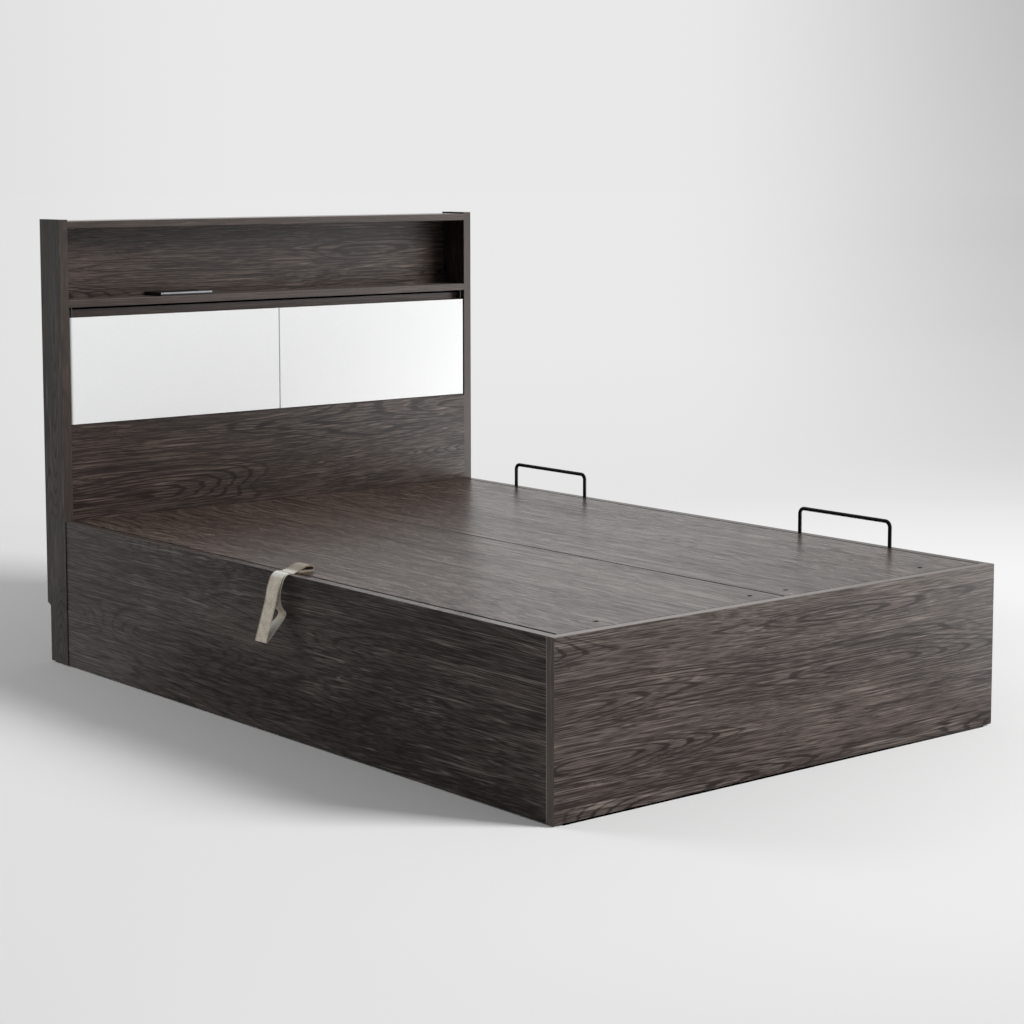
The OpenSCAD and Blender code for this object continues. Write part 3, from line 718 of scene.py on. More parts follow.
@dataclass(frozen=True)
class CrossScrew:
    """A cross-recess wood screw, countersunk or pan-headed, with a plain shank. Millimetres."""

    head_r: float
    head_h: float
    shank_r: float
    shank_l: float
    flat: bool

    def build(self, name: str, mat: Material) -> Object:
        """Makes the screw at the origin, its head looking up and seated at height nought.

        Args:
            name: The object's name.
            mat: Its finish.

        Returns:
            The screw.
        """
        r, count = self.head_r, 16
        dome = [(r * 0.55, 0.0), (r * 0.96, 0.0), (r, -0.1)] if self.flat else \
            [(r * 0.55, 1.5), (r * 0.8, 1.2), (r * 0.96, 0.6), (r, 0.0)]
        top = dome[0][1]
        rows = dome + [(self.shank_r, -self.head_h), (self.shank_r, -self.shank_l)]
        # cross recess: a star of four slots sunk into the head, 1.5 mm deep and narrower at its bottom
        reach = [r * (0.5 if k % 4 in (0, 3) else 0.17) for k in range(count)]
        star = [(x * s, y * s) for (x, y), s in zip(circle(1.0, count, 0.5), reach)]
        rings = [[Vector((x * 0.45, y * 0.45, top - 1.5)) * MM for x, y in star],
                 [Vector((x, y, top)) * MM for x, y in star]]
        rings += [[Vector((x, y, h)) * MM for x, y in circle(radius, count, 0.5)] for radius, h in rows]
        return new_piece(name, *skin(rings), mat)


# ---------------------------------------------------------------- sub-assemblies

class Assembly:
    """A sub-assembly with the finish that each of its carried nodes wears."""

    wears: ClassVar[dict[str, tuple[str, ...]]] = {}

    def dress(self, finishes: dict[str, Material]) -> None:
        """Gives the carried nodes their finishes.

        Args:
            finishes: Every finish by its short name.
        """
        for finish, names in self.wears.items():
            for name in names:
                mesh = NODES[name].data
                mesh.materials.clear()
                mesh.materials.append(finishes[finish])
                log.info("node %s: %s", name, finishes[finish].name)


@dataclass
class Carcass(Assembly):
    """The fixed box: rails, foot panel, cleats, floor, corner brackets and glides."""

    wears = {
        "wood_y": ("side_rail_near", "cleat_near_foot", "cleat_near_head"),
        "wood_far": ("side_rail_far",),
        "wood_foot": ("foot_panel",),
        "wood_x": ("storage_divider", "floor_panel_foot", "floor_panel_head", "cleat_foot", "cleat_head"),
        "zinc": ("corner_bracket_near_foot", "corner_bracket_far_foot", "corner_bracket_near_head",
                 "corner_bracket_far_head"),
        "bar_black": ("stop_bar_foot", "stop_bar_head"),
        "plastic": ("glides",),
    }
    bracket_z: Point = (115.0, 145.0)
    bracket_arm: float = 27.0
    bracket_t: float = 2.5

    def build(self, screws: FastenerTree, pan: Object) -> None:
        """Sets the bracket screws.

        Args:
            screws: The tree that repeats a screw.
            pan: The pan-head screw.
        """
        spots: list[tuple[Vector, Vector]] = []
        inner_x = BED.rail_x - BED.rail_t
        for end, into in ((BED.foot_t, 1.0), (BED.head_y, -1.0)):
            for side in (-1.0, 1.0):
                for z in self.bracket_z:
                    x, y = side * (inner_x - self.bracket_arm), end + into * self.bracket_arm
                    spots.append((BED.at(x, end + into * self.bracket_t, z), Vector((0, into, 0))))
                    spots.append((BED.at(side * (inner_x - self.bracket_t), y, z), Vector((-side, 0, 0))))
        obj = screws.place("bracket_screws", spots, pan, seed=11)
        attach(obj, "carcass")


class Headboard(Assembly):
    """The shelf headboard: sides, boards, groove strip, lower panel, doors and their pins."""

    wears = {
        "wood_z": ("headboard_side_near", "headboard_side_far"),
        "wood_divider": ("cupboard_divider",),
        "wood_shelf": ("headboard_top", "headboard_shelf", "groove_strip", "cupboard_floor"),
        "wood_back": ("headboard_back",),
        "wood_lower": ("headboard_lower_panel",),
        "gloss": ("door_near", "door_far"),
        "zinc": ("door_catch",),
        "powder": ("door_pins",),
    }


class Outlet(Assembly):
    """The power outlet let into the shelf, with its flip lid."""

    wears = {
        "plastic": ("outlet_frame", "outlet_well", "outlet_lid"),
        "plastic_dull": ("outlet_sockets", "outlet_gland"),
        "zinc": ("outlet_lid_pin",),
        "aluminium": ("outlet_lid_trim",),
    }


@dataclass
class Deck(Assembly):
    """The lift-up deck: two boards on a welded tube frame, with its screws and tube caps."""

    wears = {
        "deck_near": ("deck_board_near",),
        "deck_far": ("deck_board_far",),
        "powder": ("tube_near", "tube_far", "tube_foot", "tube_head", "tube_cross_foot", "tube_cross_mid",
                   "tube_cross_head"),
    }
    screw_x: tuple[float, ...] = (-512.0, -56.5, 57.5, 513.0)
    screw_y: Point = (77.0, 1968.0)
    screw_sink: float = 1.6
    tube_s: float = 30.0
    tube_wall: float = 1.5
    tube_side: float = 40.0
    cap_proud: float = 2.0

    def build(self, screws: FastenerTree, flat: Object, cap_mat: Material) -> None:
        """Makes the deck screws and the tube end caps.

        Args:
            screws: The tree that repeats a screw.
            flat: The countersunk screw.
            cap_mat: The caps' finish.
        """
        seat = BED.rail_z - self.screw_sink
        spots = [(BED.at(x, y, seat), Vector((0, 0, 1))) for x in self.screw_x for y in self.screw_y]
        obj = screws.place("deck_cross_screws", spots, flat, seed=5)
        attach(obj, "deck")
        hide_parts("deck_screws")
        self._caps(cap_mat)

    def _caps(self, mat: Material) -> None:
        """Makes the plastic plugs in the open ends of the two end tubes.

        Args:
            mat: The plugs' finish.
        """
        half = self.tube_s / 2
        middle_z = BED.rail_z - BED.deck_t - half
        bore = half - self.tube_wall - 0.1
        # how far out of the tube's end each section of a plug lies, with its half width
        sections = ((-12.0, bore - 0.5), (-9.0, bore), (0.0, bore), (0.05, half - 0.3),
                    (self.cap_proud * 0.6, half - 0.3), (self.cap_proud, half - 1.6))
        verts: list[Vector] = []
        faces: Faces = []
        for y in self.screw_y:
            for edge, out in ((BED.deck_xn + self.tube_side, -1.0), (BED.deck_xf - self.tube_side, 1.0)):
                rings = []
                for x, h in sections:
                    c = min(2.2, h * 0.2)
                    corners = ((h - c, h), (h, h - c), (h, c - h), (h - c, -h), (c - h, -h), (-h, c - h),
                               (-h, h - c), (c - h, h))
                    rings.append([BED.at(edge + out * x, y + a, middle_z + b) for a, b in corners])
                points, skins = skin(rings)
                faces += [tuple(len(verts) + k for k in corners) for corners in skins]
                verts += points
        obj = new_piece("tube_end_caps", verts, faces, mat)
        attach(obj, "deck")
        log.info("tube_end_caps: 4 plugs")


@dataclass
class Lift(Assembly):
    """The side lift: two hinge plates with pins and two gas struts."""

    wears = {
        "powder": ("lift_plate_foot", "lift_plate_head", "gas_cylinder_foot", "gas_cylinder_head"),
        "zinc": ("hinge_pin_foot", "hinge_pin_head", "strut_pin_foot", "strut_pin_head", "strap_clamp"),
        "chrome": ("gas_rod_foot", "gas_rod_head"),
    }
    base: Point = (568.0, 294.0)
    pin: Point = (313.0, 358.0)
    off: float = 25.0
    cyl_r: float = 10.0
    cyl_len: float = 180.0
    rod_r: float = 5.0
    holes: tuple[Point, ...] = ((553.0, 324.0), (549.0, 276.0), (593.0, 276.0))
    plate_t: float = 4.0

    def build(self, screws: FastenerTree, pan: Object, cap_mat: Material) -> None:
        """Makes the struts' wiper caps and the plates' screws.

        Args:
            screws: The tree that repeats a screw.
            pan: The pan-head screw.
            cap_mat: The caps' finish.
        """
        inner, outer = self.rod_r + 0.35, self.cyl_r - 0.9
        # radius and height of the cap's section, a closed profile turned about the rod
        profile = ((inner, 2.4), (self.rod_r + 2.2, 2.4), (self.cyl_r - 1.4, 1.6), (outer, 0.9),
                   (outer, 0.02), (inner, 0.02))
        spots: list[tuple[Vector, Vector]] = []
        for end, into, body in ((BED.foot_t, 1.0, "foot"), (BED.head_y, -1.0, "head")):
            start, finish = (BED.at(x, end + into * self.off, z) for x, z in (self.base, self.pin))
            z = (finish - start).normalized()
            x = z.orthogonal().normalized()
            y = z.cross(x)
            foot = start + z * self.cyl_len * MM
            rings = [[foot + (x * a + y * b + z * h) * MM for a, b in circle(r, 40)] for r, h in profile]
            cap = new_piece("strut_wiper_" + body, *skin(rings, ends=False), cap_mat, smooth=True)
            cap.data.set_sharp_from_angle(angle=math.radians(35))
            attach(cap, "gas_cylinder_" + body)
            log.info("%s: turned cap", cap.name)
            spots += [(BED.at(x, end + into * self.plate_t, z), Vector((0, into, 0))) for x, z in self.holes]
        obj = screws.place("lift_plate_screws", spots, pan, seed=8)
        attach(obj, "carcass")


@dataclass
class PullStrap:
    """The webbing pull: one strip doubled over the deck's edge, slack on the deck, looped over the near rail.

    The places run across the bed from the near rail's face and up from the rail's top, in millimetres.
    """

    width: float = 48.0
    thick: float = 1.8
    lift: float = 0.3
    middle_y: float = 980.0
    edge: float = 31.0
    fold: Point = (-63.2, -153.6)
    fold_r: float = 1.0
    pinch: float = 17.0
    pinch_z: float = -96.0
    pinch_reach: float = 34.0
    front: tuple[Point, ...] = (
        (2, 3.0), (-6, 2.4), (-13, -1.5), (-20, -9.5), (-29.5, -33), (-35.5, -60), (-43.5, -86), (-53, -117))
    back: tuple[Point, ...] = (
        (-48, -139.5), (-30, -121), (-16, -105), (-9.5, -90.6), (-18.5, -77), (-24.5, -62), (-25, -50),
        (-22.5, -33.8), (-15.5, -13), (-10.2, -5), (-4.2, 0.2), (2, 1.2))

    @staticmethod
    def _curve(points: list[Point], steps: int = 6) -> list[Vector]:
        """Runs a smooth curve through points.

        Args:
            points: The points.
            steps: Steps between two of them.

        Returns:
            Points on the curve.
        """
        out: list[Vector] = []
        p = [Vector(q) for q in points]
        for i in range(len(p) - 1):
            a, b, c, d = p[max(i - 1, 0)], p[i], p[i + 1], p[min(i + 2, len(p) - 1)]
            for t in (k / steps for k in range(steps)):
                out.append(0.5 * (2 * b + (c - a) * t + (2 * a - 5 * b + 4 * c - d) * t * t
                                  + (3 * b - a - 3 * c + d) * t * t * t))
        return out + [p[-1]]

    @staticmethod
    def _arc(centre: Point, radius: float, first: float, last: float, steps: int = 6) -> list[Vector]:
        """Returns points on an arc from its first angle to its last, both in degrees."""
        turns = (math.radians(first + (last - first) * k / steps) for k in range(steps + 1))
        return [Vector(centre) + radius * Vector((math.cos(a), math.sin(a))) for a in turns]

    @staticmethod
    def _sides(line: list[Vector]) -> list[Vector]:
        """Finds the direction to the left of a line at each of its points.

        Args:
            line: The line's points.

        Returns:
            The directions, each of length one.
        """
        padded = line[:1] + line + line[-1:]
        ways = [(after - before).normalized() for before, after in zip(padded, padded[2:])]
        return [Vector((-way.y, way.x)) for way in ways]

    @staticmethod
    def _run(points: list[Vector]) -> list[float]:
        """Returns the way covered up to each point of a line."""
        return list(accumulate(((b - a).length for a, b in zip(points, points[1:])), initial=0.0))

    def route(self) -> list[Vector]:
        """Returns the strip's centre line from one tail under the deck round the loop to the other."""
        e, c, deck = self.edge, self.thick + self.lift, BED.deck_t
        double = [Vector((e + 30, -deck - c)), Vector((e + 12, -deck - c))]
        double += self._arc((e, -deck), c, 270, 180) + self._arc((e, 0), c, 180, 90)
        double += self._curve([(e + 6, c), (e + 30, c), (e + 37.5, c + 2.2), (e + 39.6, 8.6), (e + 36, 13.1),
                               (e + 27, 15.1), (e + 15, 13.6), (e + 4, 9.4), (e - 5, 5.2), (e - 14, 2.9),
                               (BED.rail_t - 12, c)])
        double.append(Vector((0.5, c)))
        half_step = [side * self.thick / 2 for side in self._sides(double)]
        upper = [p - s for p, s in zip(double, half_step)]
        lower = [p + s for p, s in zip(double, half_step)]
        turn = self._arc(self.fold, self.fold_r, 150, 330, 12)
        loop = self._curve([*self.front, turn[0]]) + turn[1:-1] + self._curve([turn[-1], *self.back])
        return upper + loop + lower[::-1]

    def _section(self) -> list[Point]:
        """Returns the strip's section: a woven edge turned over a thicker yarn and rounded, twice."""
        half, skin_z = self.width / 2, self.thick / 2 - 0.06
        upper = [(-half + 2.6, skin_z * 0.9), (-half + 1.6, skin_z), (-half + 0.7, skin_z * 0.93),
                 (-half + 0.12, skin_z * 0.5), (-half, 0.0)]
        outline = upper + [(a, -b) for a, b in upper[-2::-1]]
        flat = [(x, -skin_z * 0.9) for x in (-16.0, -8.0, 0.0, 8.0, 16.0)]
        return outline + flat + [(-a, -b) for a, b in outline + flat]

    def build(self, mat: Material) -> None:
        """Sweeps the strip along its route.

        Args:
            mat: The woven finish.
        """
        line, section = self.route(), self._section()
        gaps = self._run(line)
        girth = self._run([Vector(q) for q in section + section[:1]])
        lowest = min(range(len(line)), key=lambda j: line[j].y)
        rings: list[list[Vector]] = []
        for i, (p, side) in enumerate(zip(line, self._sides(line))):
            # hand-softened: the loop's edges wave by up to a quarter of a millimetre, and the back strip's
            # head-side edge is drawn in below the rail's top, so that a slit opens between the two strips
            near = max(0.0, 1.0 - ((p.y - self.pinch_z) / self.pinch_reach) ** 2) if i > lowest else 0.0
            drawn = self.pinch * near ** 1.5
            ring = []
            for a, b in section:
                wave = 0.25 * math.sin(gaps[i] / 23.0 + a / 9.0) if abs(a) > 20 and p.x < -8 else 0.0
                q = p + side * (b + wave)
                y = self.middle_y + a - drawn * (a / self.width + 0.5)
                ring.append(BED.at(q.x - BED.rail_x, y, q.y + BED.rail_z))
            rings.append(ring)
        uv = [[(u * MM, v * MM) for u, v in ((u0, v0), (u0, v1), (u1, v1), (u1, v0))]
              for u0, u1 in zip(gaps, gaps[1:]) for v0, v1 in zip(girth, girth[1:])]
        uv += [[(0.0, 0.0)] * len(section)] * 2
        obj = new_piece("webbing_pull_strap", *skin(rings), mat, smooth=True, uv=uv)
        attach(obj, "deck")
        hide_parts("pull_strap")
        log.info("webbing_pull_strap: %.0f mm of webbing", gaps[-1])


# ---------------------------------------------------------------- studio

@dataclass(frozen=True)
class Lamp:
    """A square area lamp, in metres and watts."""

    name: str
    place: Triple
    aim: Triple
    size: float
    power: float

    def hang(self) -> None:
        """Adds the lamp to the scene."""
        data = bpy.data.lights.new(self.name, "AREA")
        data.shape = "SQUARE"
        data.size = self.size
        data.energy = self.power
        lamp = link_object(self.name, data)
        lamp.location = self.place
        lamp.rotation_euler = (Vector(self.aim) - Vector(self.place)).to_track_quat("-Z", "Y").to_euler()
        # the surroundings give the reflections, so no lamp burns out as a white patch on satin boards
        lamp.visible_glossy = False


@dataclass(frozen=True)
class Studio:
    """Camera, lamps, pale surroundings and floor. The eye is in bed millimetres, all else in metres."""

    lens: float = 83.27
    shift: float = -0.1
    angles: Triple = (39.412, 6.0186, -0.0669)
    eye: Triple = (-3760.8, -3599.5, 1359.3)
    viewer: Triple = (-3.729, -4.6625, 0.0)
    lamps: tuple[Lamp, ...] = (Lamp("key", (6.4, -9.5, 7.4), (0.0, 0.0, 0.4), 4.4, 1920.0),
                               Lamp("top", (-3.4, 4.4, 3.2), (0.0, 0.8, 0.2), 2.8, 105.0))
    ambient: float = 0.215
    backdrop: str = "e9e9e9"
    floor: str = "f2f2f2"
    # mirrored, the room falls off behind the foot's left, a pale wall right of the foot gives the sheen, and
    # a weak one stands behind the headboard: which way each lies, where it sets in and how bright it gets
    walls: tuple[tuple[Triple, Point, Point], ...] = (((0.85, 0.5, 0.15), (-0.1, 0.45), (0.1, 0.98)),
                                                      ((0.927, -0.375, 0.0), (0.85, 1.0), (0.0, 4.5)),
                                                      ((-0.45, 0.893, 0.0), (0.9, 1.0), (0.0, 0.5)))
    # painted pool of light: the floor glow's tone against the distance from the key lamp's pool, 1 being 10 m
    pool: tuple[tuple[float, str], ...] = ((0.08, "fdfdfd"), (0.2, "efefef"), (0.3, "e5e5e5"),
                                           (0.36, "e5e5e5"), (0.6, "e7e7e7"), (1.0, "e9e9e9"))
    # how much of the corner's shade the floor takes against the distance from the viewer, 1 being 40 m
    depth: tuple[Point, ...] = ((0.235, 0.0), (0.27, 0.33), (0.3, 0.46), (0.365, 0.58), (0.5, 0.74),
                                (1.0, 0.85))

    def camera(self) -> None:
        """Sets the camera where the photograph was taken."""
        yaw, pitch, roll = (math.radians(a) for a in self.angles)
        ahead = Vector((math.sin(yaw) * math.cos(pitch), math.cos(yaw) * math.cos(pitch), -math.sin(pitch)))
        flat = Vector((math.cos(yaw), -math.sin(yaw), 0.0))
        upright = flat.cross(ahead)
        right = flat * math.cos(roll) + upright * math.sin(roll)
        up = upright * math.cos(roll) - flat * math.sin(roll)
        data = bpy.data.cameras.new("camera")
        data.lens = self.lens
        data.sensor_width = 36.0
        data.shift_y = self.shift
        data.clip_end = 200.0
        cam = link_object("camera", data)
        place = Matrix((right, up, -ahead)).transposed().to_4x4()
        place.translation = BED.at(*self.eye)
        cam.matrix_world = place
        bpy.context.scene.camera = cam
        log.info("camera: %.1f mm", self.lens)

    @staticmethod
    def _corner(tree: Tree, way: Socket, weight: Socket | float) -> Socket:
        """Gives how pale the room is in a direction: 1 in the middle, less towards its corners.

        Args:
            tree: The tree that gets the nodes.
            way: A direction of length one.
            weight: How much of the right corner's shade counts.

        Returns:
            The level.
        """
        # from the middle of the picture towards its right side
        across = vector(tree, "DOT_PRODUCT", way, (0.7726, -0.6349, 0.0))
        begin = remap(tree, across, (0.06, 0.26), (0.0, 0.42), smooth=True)
        end = remap(tree, across, (0.35, 0.75), (1.0, 0.0), smooth=True)
        left = remap(tree, across, (-0.1, -0.27), (0.0, 0.095), smooth=True)
        dark = calc(tree, "MULTIPLY_ADD", calc(tree, "MULTIPLY", begin, end), weight, left)
        return calc(tree, "SUBTRACT", 1.0, dark)

    def _mirrored(self, tree: Tree, way: Socket) -> Socket:
        """Gives how bright the room is where satin boards and gloss mirror it.

        Args:
            tree: The tree that gets the nodes.
            way: A direction of length one.

        Returns:
            The level.
        """
        first, *others = (remap(tree, vector(tree, "DOT_PRODUCT", way, side), reach, level, smooth=True)
                          for side, reach, level in self.walls)
        total = weigh(tree, first, *((other, 1.0) for other in others))
        return calc(tree, "MULTIPLY", total, self._corner(tree, way, 1.0))

    def surroundings(self) -> None:
        """Makes the pale surroundings: plain ambient light on surfaces, the backdrop's colour to the eye."""
        world = bpy.data.worlds.new("surroundings")
        bpy.context.scene.world = world
        world.use_nodes = True
        tree = world.node_tree
        tree.nodes.clear()
        seen = add(tree, "ShaderNodeLightPath").outputs
        eyed = seen["Is Camera Ray"]
        direct = calc(tree, "MAXIMUM", eyed, seen["Is Glossy Ray"])
        through = calc(tree, "MAXIMUM", direct, seen["Is Transmission Ray"])
        ambient = add(tree, "ShaderNodeBackground", Color=(1.0, 1.0, 1.0, 1.0), Strength=self.ambient)
        way = add(tree, "ShaderNodeTexCoord").outputs["Generated"]
        # to the eye the room darkens towards its right corner, most of all high up, and a little at the left
        rise = calc(tree, "MULTIPLY_ADD", split(tree, way)[2], 2.4, 0.85, clamp=True)
        pale = calc(tree, "MULTIPLY", eyed, self._corner(tree, way, rise))
        unseen = calc(tree, "SUBTRACT", 1.0, eyed)
        level = calc(tree, "MULTIPLY_ADD", self._mirrored(tree, way), unseen, pale)
        shown = add(tree, "ShaderNodeBackground", Color=linear(self.backdrop), Strength=level)
        mix = add(tree, "ShaderNodeMixShader", i0=through, i1=ambient.outputs[0], i2=shown.outputs[0])
        add(tree, "ShaderNodeOutputWorld", i0=mix.outputs[0])

    def ground(self) -> None:
        """Lays a round pale floor that meets the surroundings without an edge."""
        radii, count = (2.0, 3.5, 5.0, 8.0, 16.0, 40.0, 90.0), 64
        verts = [Vector((0, 0, 0))] + [Vector((x, y, 0)) for r in radii for x, y in circle(r, count)]
        faces: Faces = [(0, 1 + k, 1 + (k + 1) % count) for k in range(count)]
        for a in range(1, (len(radii) - 1) * count, count):
            b = a + count
            faces += [(a + k, b + k, b + (k + 1) % count, a + (k + 1) % count) for k in range(count)]
        mat, tree, mix = new_material("Pale studio floor", "ShaderNodeMixShader")
        spot = add(tree, "ShaderNodeTexCoord").outputs["Object"]
        # real light and shadow near the bed, a steady glow further out
        fade = remap(tree, vector(tree, "DISTANCE", spot, (-0.5, 0.6, 0.0)), (1.8, 3.3), smooth=True)
        # painted shade: between the rails, from the foot to the headboard's front, the floor's colour is near
        # black, so the gap under the panels shows black
        middle = BED.at(0, BED.head_y / 2, 0)
        half = ((BED.rail_x - BED.rail_t) * MM, (BED.head_y / 2 - 0.5) * MM, 1.0)
        from_middle = vector(tree, "ABSOLUTE", vector(tree, "SUBTRACT", spot, tuple(middle)))
        inside = split(tree, vector(tree, "SUBTRACT", half, from_middle))
        under = calc(tree, "GREATER_THAN", calc(tree, "MINIMUM", inside[0], inside[1]), 0.0)
        lit = add(tree, "ShaderNodeBsdfDiffuse", Color=blend(tree, under, linear(self.floor),
                                                             linear("0c0c0c")))
        seen = add(tree, "ShaderNodeLightPath").outputs
        eyed = calc(tree, "MULTIPLY", seen["Is Camera Ray"], fade)
        share = calc(tree, "MAXIMUM", eyed, seen["Is Glossy Ray"])
        from_pool = calc(tree, "MULTIPLY", vector(tree, "DISTANCE", spot, (1.4, -0.5, 0.0)), 0.1)
        tint = tones(tree, from_pool, *((place, linear(tone)) for place, tone in self.pool))
        slope = vector(tree, "DOT_PRODUCT", spot, (0.77, 0.64, 0.0))
        tilt = remap(tree, slope, (-3.0, 3.0), (0.985, 1.005))
        away = calc(tree, "MULTIPLY", vector(tree, "DISTANCE", spot, self.viewer), 0.025)
        depth = tones(tree, away, *((place, (level, level, level, 1.0)) for place, level in self.depth))
        way = vector(tree, "NORMALIZE", vector(tree, "SUBTRACT", spot, self.viewer))
        plain = calc(tree, "MULTIPLY", tilt, self._corner(tree, way, depth))
        # mirrored, the floor is as bright as the room in that direction
        mirrored = self._mirrored(tree, vector(tree, "NORMALIZE", spot))
        strength = pick(tree, seen["Is Glossy Ray"], plain, mirrored)
        glow = add(tree, "ShaderNodeEmission", Color=tint, Strength=strength)
        feed(mix, i0=share, i1=lit.outputs[0], i2=glow.outputs[0])
        new_piece("studio_floor", verts, faces, mat, closed=False)

    def build(self) -> None:
        """Makes the whole studio."""
        self.camera()
        for lamp in self.lamps:
            lamp.hang()
        self.surroundings()
        self.ground()
        bpy.context.scene.view_settings.view_transform = "Standard"


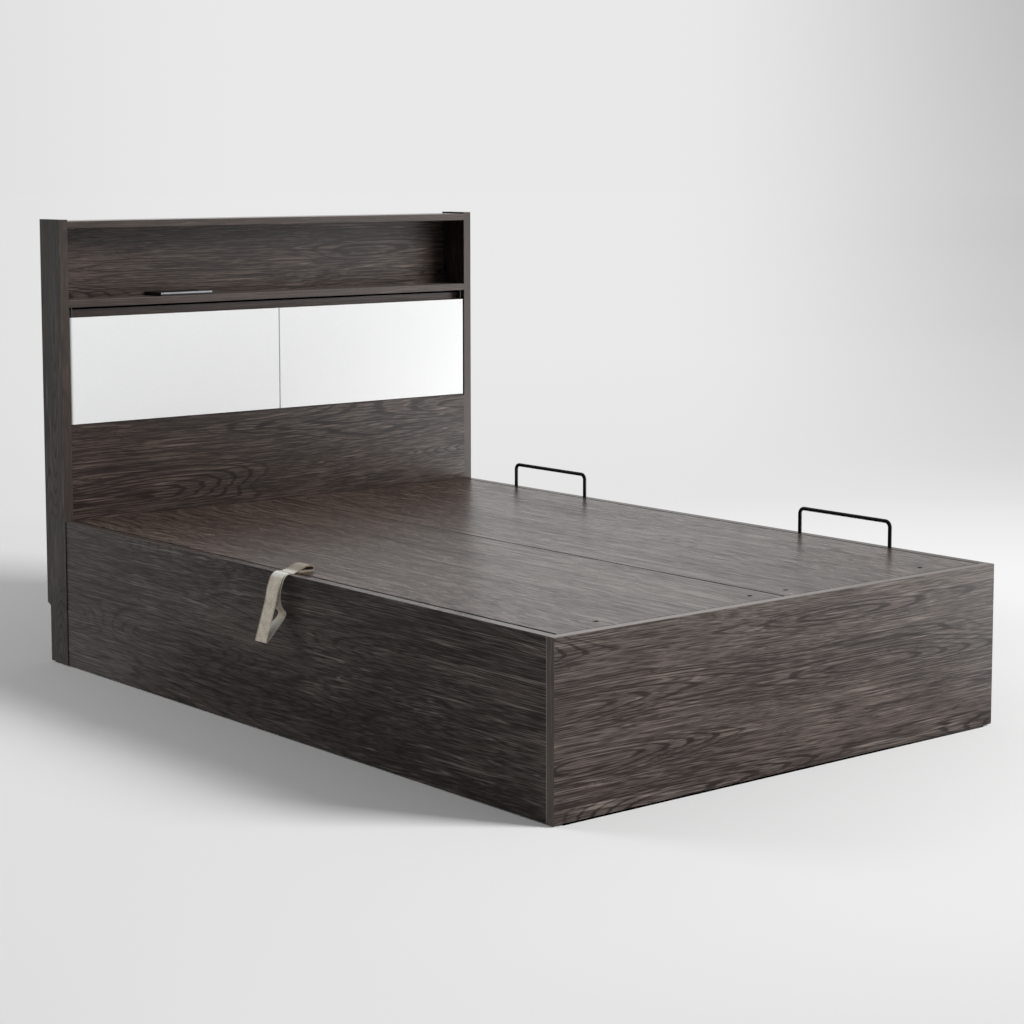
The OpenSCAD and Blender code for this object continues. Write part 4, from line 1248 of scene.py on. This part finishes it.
def make_finishes() -> dict[str, Material]:
    """Returns every finish by its short name."""
    up, ahead, left = (0.0, 0.0, 1.0), (0.0, -1.0, 0.0), (-1.0, 0.0, 0.0)
    rail_edge = FacingTone(up, "453a35", 0.85, 0.22, None, 1.5)
    far_edge = FacingTone(up, "453a35", 0.7, 0.31)
    foot_edge = FacingTone(up, "5c4f48", 0.85, 0.22, None, 1.75)
    # the boards' fronts get a paler edge band; their upward faces get a paler, smoother tone, partly a
    # smoother film and partly a painted highlight for the grazing reflection along the top
    bands_and_top_highlight = (FacingTone(ahead, "483f3b", 0.45, 0.42), FacingTone(up, "6f6864", 0.75, 0.24, None, 1.6))
    # the divider's front edge is banded white like the doors that close on it
    white_band = FacingTone(ahead, "e6e6e5", 1.0, 0.35)
    # painted shadow: a near-black band 7 mm high, without shine, at the top of the groove strip's front
    # between the shelf and the strip, where the shelf above shades it
    shelf_shadow = FacingTone(ahead, "080707", 1.0, 0.8, (2, 0.9615, 0.9685), 0.0)
    # painted shade: near-black strips 1.9 mm wide, without shine, on the chamfered edges at the deck's seam
    # and along the near rail's top beside the deck, darkening the gaps there
    strip = 1.9 * MM
    rail_n, seam_n, seam_f = (BED.at(x, 0, 0).x for x in (BED.rail_t - BED.rail_x, BED.seam_x - 1.0,
                                                         BED.seam_x + 1.0))
    rail_gap_shade, seam_shade_near, seam_shade_far = (FacingTone(up, UNLIT, 1.0, 0.9, (0, low, low + strip), 0.0)
                                               for low in (rail_n - strip, seam_n - strip, seam_f))
    # a painted highlight 1.4 mm wide on the foot panel's end band beside the rail, where its rounded edge
    # catches light
    edge_highlight_y = (BED.foot_t - 1.4 + BED.shift_y) * MM
    foot_ends = (foot_edge, FacingTone(left, "6a605b", 0.5, 0.38),
                 FacingTone(left, "a39b95", 0.6, 0.35, (1, edge_highlight_y, edge_highlight_y + 1.4 * MM)))
    # a darker copy of the print for the lower panel, the shelf boards and the back panel: painted shade
    shaded_print = {"dark": "110d0b", "mid": "231b18", "pale": "63564f"}
    # the painted shade at the deck's screw bores: their middle and half span across and along, and the radius
    # of the shaded ring
    bore_shade_n, bore_shade_f = ((BED.at(middle, 0, 0).x, 227.75 * MM, BED.at(0, 1022.5, 0).y, 945.5 * MM, 6.6 * MM)
                        for middle in (-284.25, 285.25))
    deck = {"dark": "1a110e", "mid": "342925", "pale": "7c6c63", "roughness": 0.31, "contrast": 1.15,
            "coarse": 0.35, "figure": 0.6}
    x, y, z = Grain.X, Grain.Y, Grain.Z
    # each laminate's name, grain, edge grain, place in the print and what sets it apart
    woods = {
        "wood_y": ("rails", y, z, (0.3, 0.11, 0.07),
                   dict(mid="2c2522", contrast=0.45, figure=0.3, facing_tones=(rail_edge, rail_gap_shade))),
        "wood_far": ("far rail", y, z, (0.8, 0.5, 0.27),
                     dict(mid="2c2522", contrast=0.5, figure=0.6, facing_tones=(far_edge,))),
        "wood_foot": ("foot panel", x, z, (0.23, 0.4, 0.19), dict(facing_tones=foot_ends)),
        "wood_lower": ("lower panel", x, z, (0.71, 0.2, 0.53), shaded_print),
        "wood_x": ("cross boards", x, z, (0.9, 0.33, 0.77), {}),
        "wood_shelf": ("shelf boards", x, z, (0.9, 0.33, 0.77), dict(facing_tones=(*bands_and_top_highlight, shelf_shadow), **shaded_print)),
        "wood_back": ("back panel", x, z, (0.17, 0.9, 0.31), shaded_print),
        # the uprights get a darker copy still: painted shade
        "wood_z": ("uprights", z, x, (0.5, 0.6, 0.2),
                   dict(dark="0d0a08", mid="1b1512", pale="524740", facing_tones=bands_and_top_highlight)),
        "wood_divider": ("cupboard divider", z, x, (0.1, 0.7, 0.2), dict(facing_tones=(white_band,))),
        "deck_near": ("deck near", y, x, (0.41, 0.05, 0.4),
                      dict(bore_shade=bore_shade_n, facing_tones=(seam_shade_near,), **deck)),
        "deck_far": ("deck far", y, x, (0.83, 0.66, 0.1),
                     dict(bore_shade=bore_shade_f, facing_tones=(seam_shade_far,), **deck)),
    }
    speck, wear, peel, rub, haze = (500.0, 2.0), (22.0, 4.0), (850.0, 2.0), (90.0, 3.0), (30.0, 2.0)
    spangle, spark = (250.0, None), (1250.0, None)
    ground, brushed = ((2000.0, 60.0, 60.0), 1.0), ((16.0, 2500.0, 2500.0), 2.0)
    metal = {"Metallic": 1.0}
    finishes: dict[str, WoodLaminate | Surface | Webbing] = {
        key: WoodLaminate("Charcoal laminate " + label, grain, edge, offset, **rest)
        for key, (label, grain, edge, offset, rest) in woods.items()}
    finishes |= {
        # a mirror-like coat on board with the faintest press ripple 60 mm long
        "gloss": Surface("White gloss laminate", speck, (0.3, "e5e6e6"), (0.7, "e9eaea"), speck, (0.07, 0.13),
                         (16.0, 1.0), 0.08, 0.0006, {"IOR": 1.5, "Coat_Weight": 0.4, "Coat_Roughness": 0.05}),
        # satin paint on steel with an orange-peel skin of 1.2 mm
        "powder": Surface("Black powder coat", wear, (0.35, "1b1b1c"), (0.75, "29292b"), wear, (0.38, 0.5),
                          peel, 0.3, constants={"IOR": 1.5}),
        "bar_black": Surface("Deep black powder coat", wear, (0.35, "0b0b0c"), (0.75, "121213"), wear,
                             (0.4, 0.52), peel, 0.3, constants={"IOR": 1.5, "Specular_IOR_Level": 0.3}),
        # the deck screws are steel blackened by oxide: dull and near black
        "oxide": Surface("Black oxide steel", wear, (0.35, "040404"), (0.75, "0b0b0b"), wear, (0.85, 0.97),
                         peel, 0.3, constants={"IOR": 1.5, "Specular_IOR_Level": 0.0}),
        # pale metal with rubbed patches and a faint spangle of 4 mm
        "zinc": Surface("Bright zinc plate", rub, (0.3, "9da0a4"), (0.7, "b9bcc0"), spangle, (0.27, 0.39),
                        rub, 0.1, constants=metal),
        # near mirror, with grinding lines about 0.5 mm apart along the rod
        "chrome": Surface("Hard chrome", ground, (0.3, "bcbdc1"), (0.7, "cdced1"), ground, (0.06, 0.14),
                          constants=metal),
        # low sheen, with a spark-eroded grain of 0.8 mm
        "plastic": Surface("Moulded black ABS", haze, (0.35, "1a1a1b"), (0.7, "242425"), spark, (0.37, 0.5),
                           spark, 0.25, constants={"IOR": 1.52}),
        "plastic_dull": Surface("Moulded grey-black nylon", haze, (0.35, "202022"), (0.7, "242425"), spark,
                                (0.5, 0.63), spark, 0.25, constants={"IOR": 1.52}),
        # brush lines 0.4 mm apart and 60 mm long across the bed
        "aluminium": Surface("Brushed anodised aluminium", brushed, (0.3, "aeb0b3"), (0.7, "c6c8ca"), brushed,
                             (0.25, 0.4), constants=metal),
        "webbing": Webbing(),
    }
    return {key: finish.build() for key, finish in finishes.items()}


def main() -> None:
    """Builds the studio and every sub-assembly in order."""
    Studio().build()
    finishes = make_finishes()
    flat = CrossScrew(4.4, 0.35, 2.4, 15.0, flat=True).build("screw_flat_pattern", finishes["oxide"])
    pan = CrossScrew(4.6, 0.0, 2.3, 11.0, flat=False).build("screw_pan_pattern", finishes["zinc"])
    dark_screws = FastenerTree("dark_screws", finishes["oxide"])
    zinc_screws = FastenerTree("zinc_screws", finishes["zinc"])
    carcass, deck, lift = Carcass(), Deck(), Lift()
    for assembly in (carcass, Headboard(), Outlet(), deck, lift):
        assembly.dress(finishes)
    PullStrap().build(finishes["webbing"])
    carcass.build(zinc_screws, pan)
    deck.build(dark_screws, flat, finishes["plastic_dull"])
    lift.build(zinc_screws, pan, finishes["plastic_dull"])
    for pattern in (flat, pan):
        bpy.data.objects.remove(pattern)


if __name__ == "__main__":
    main()
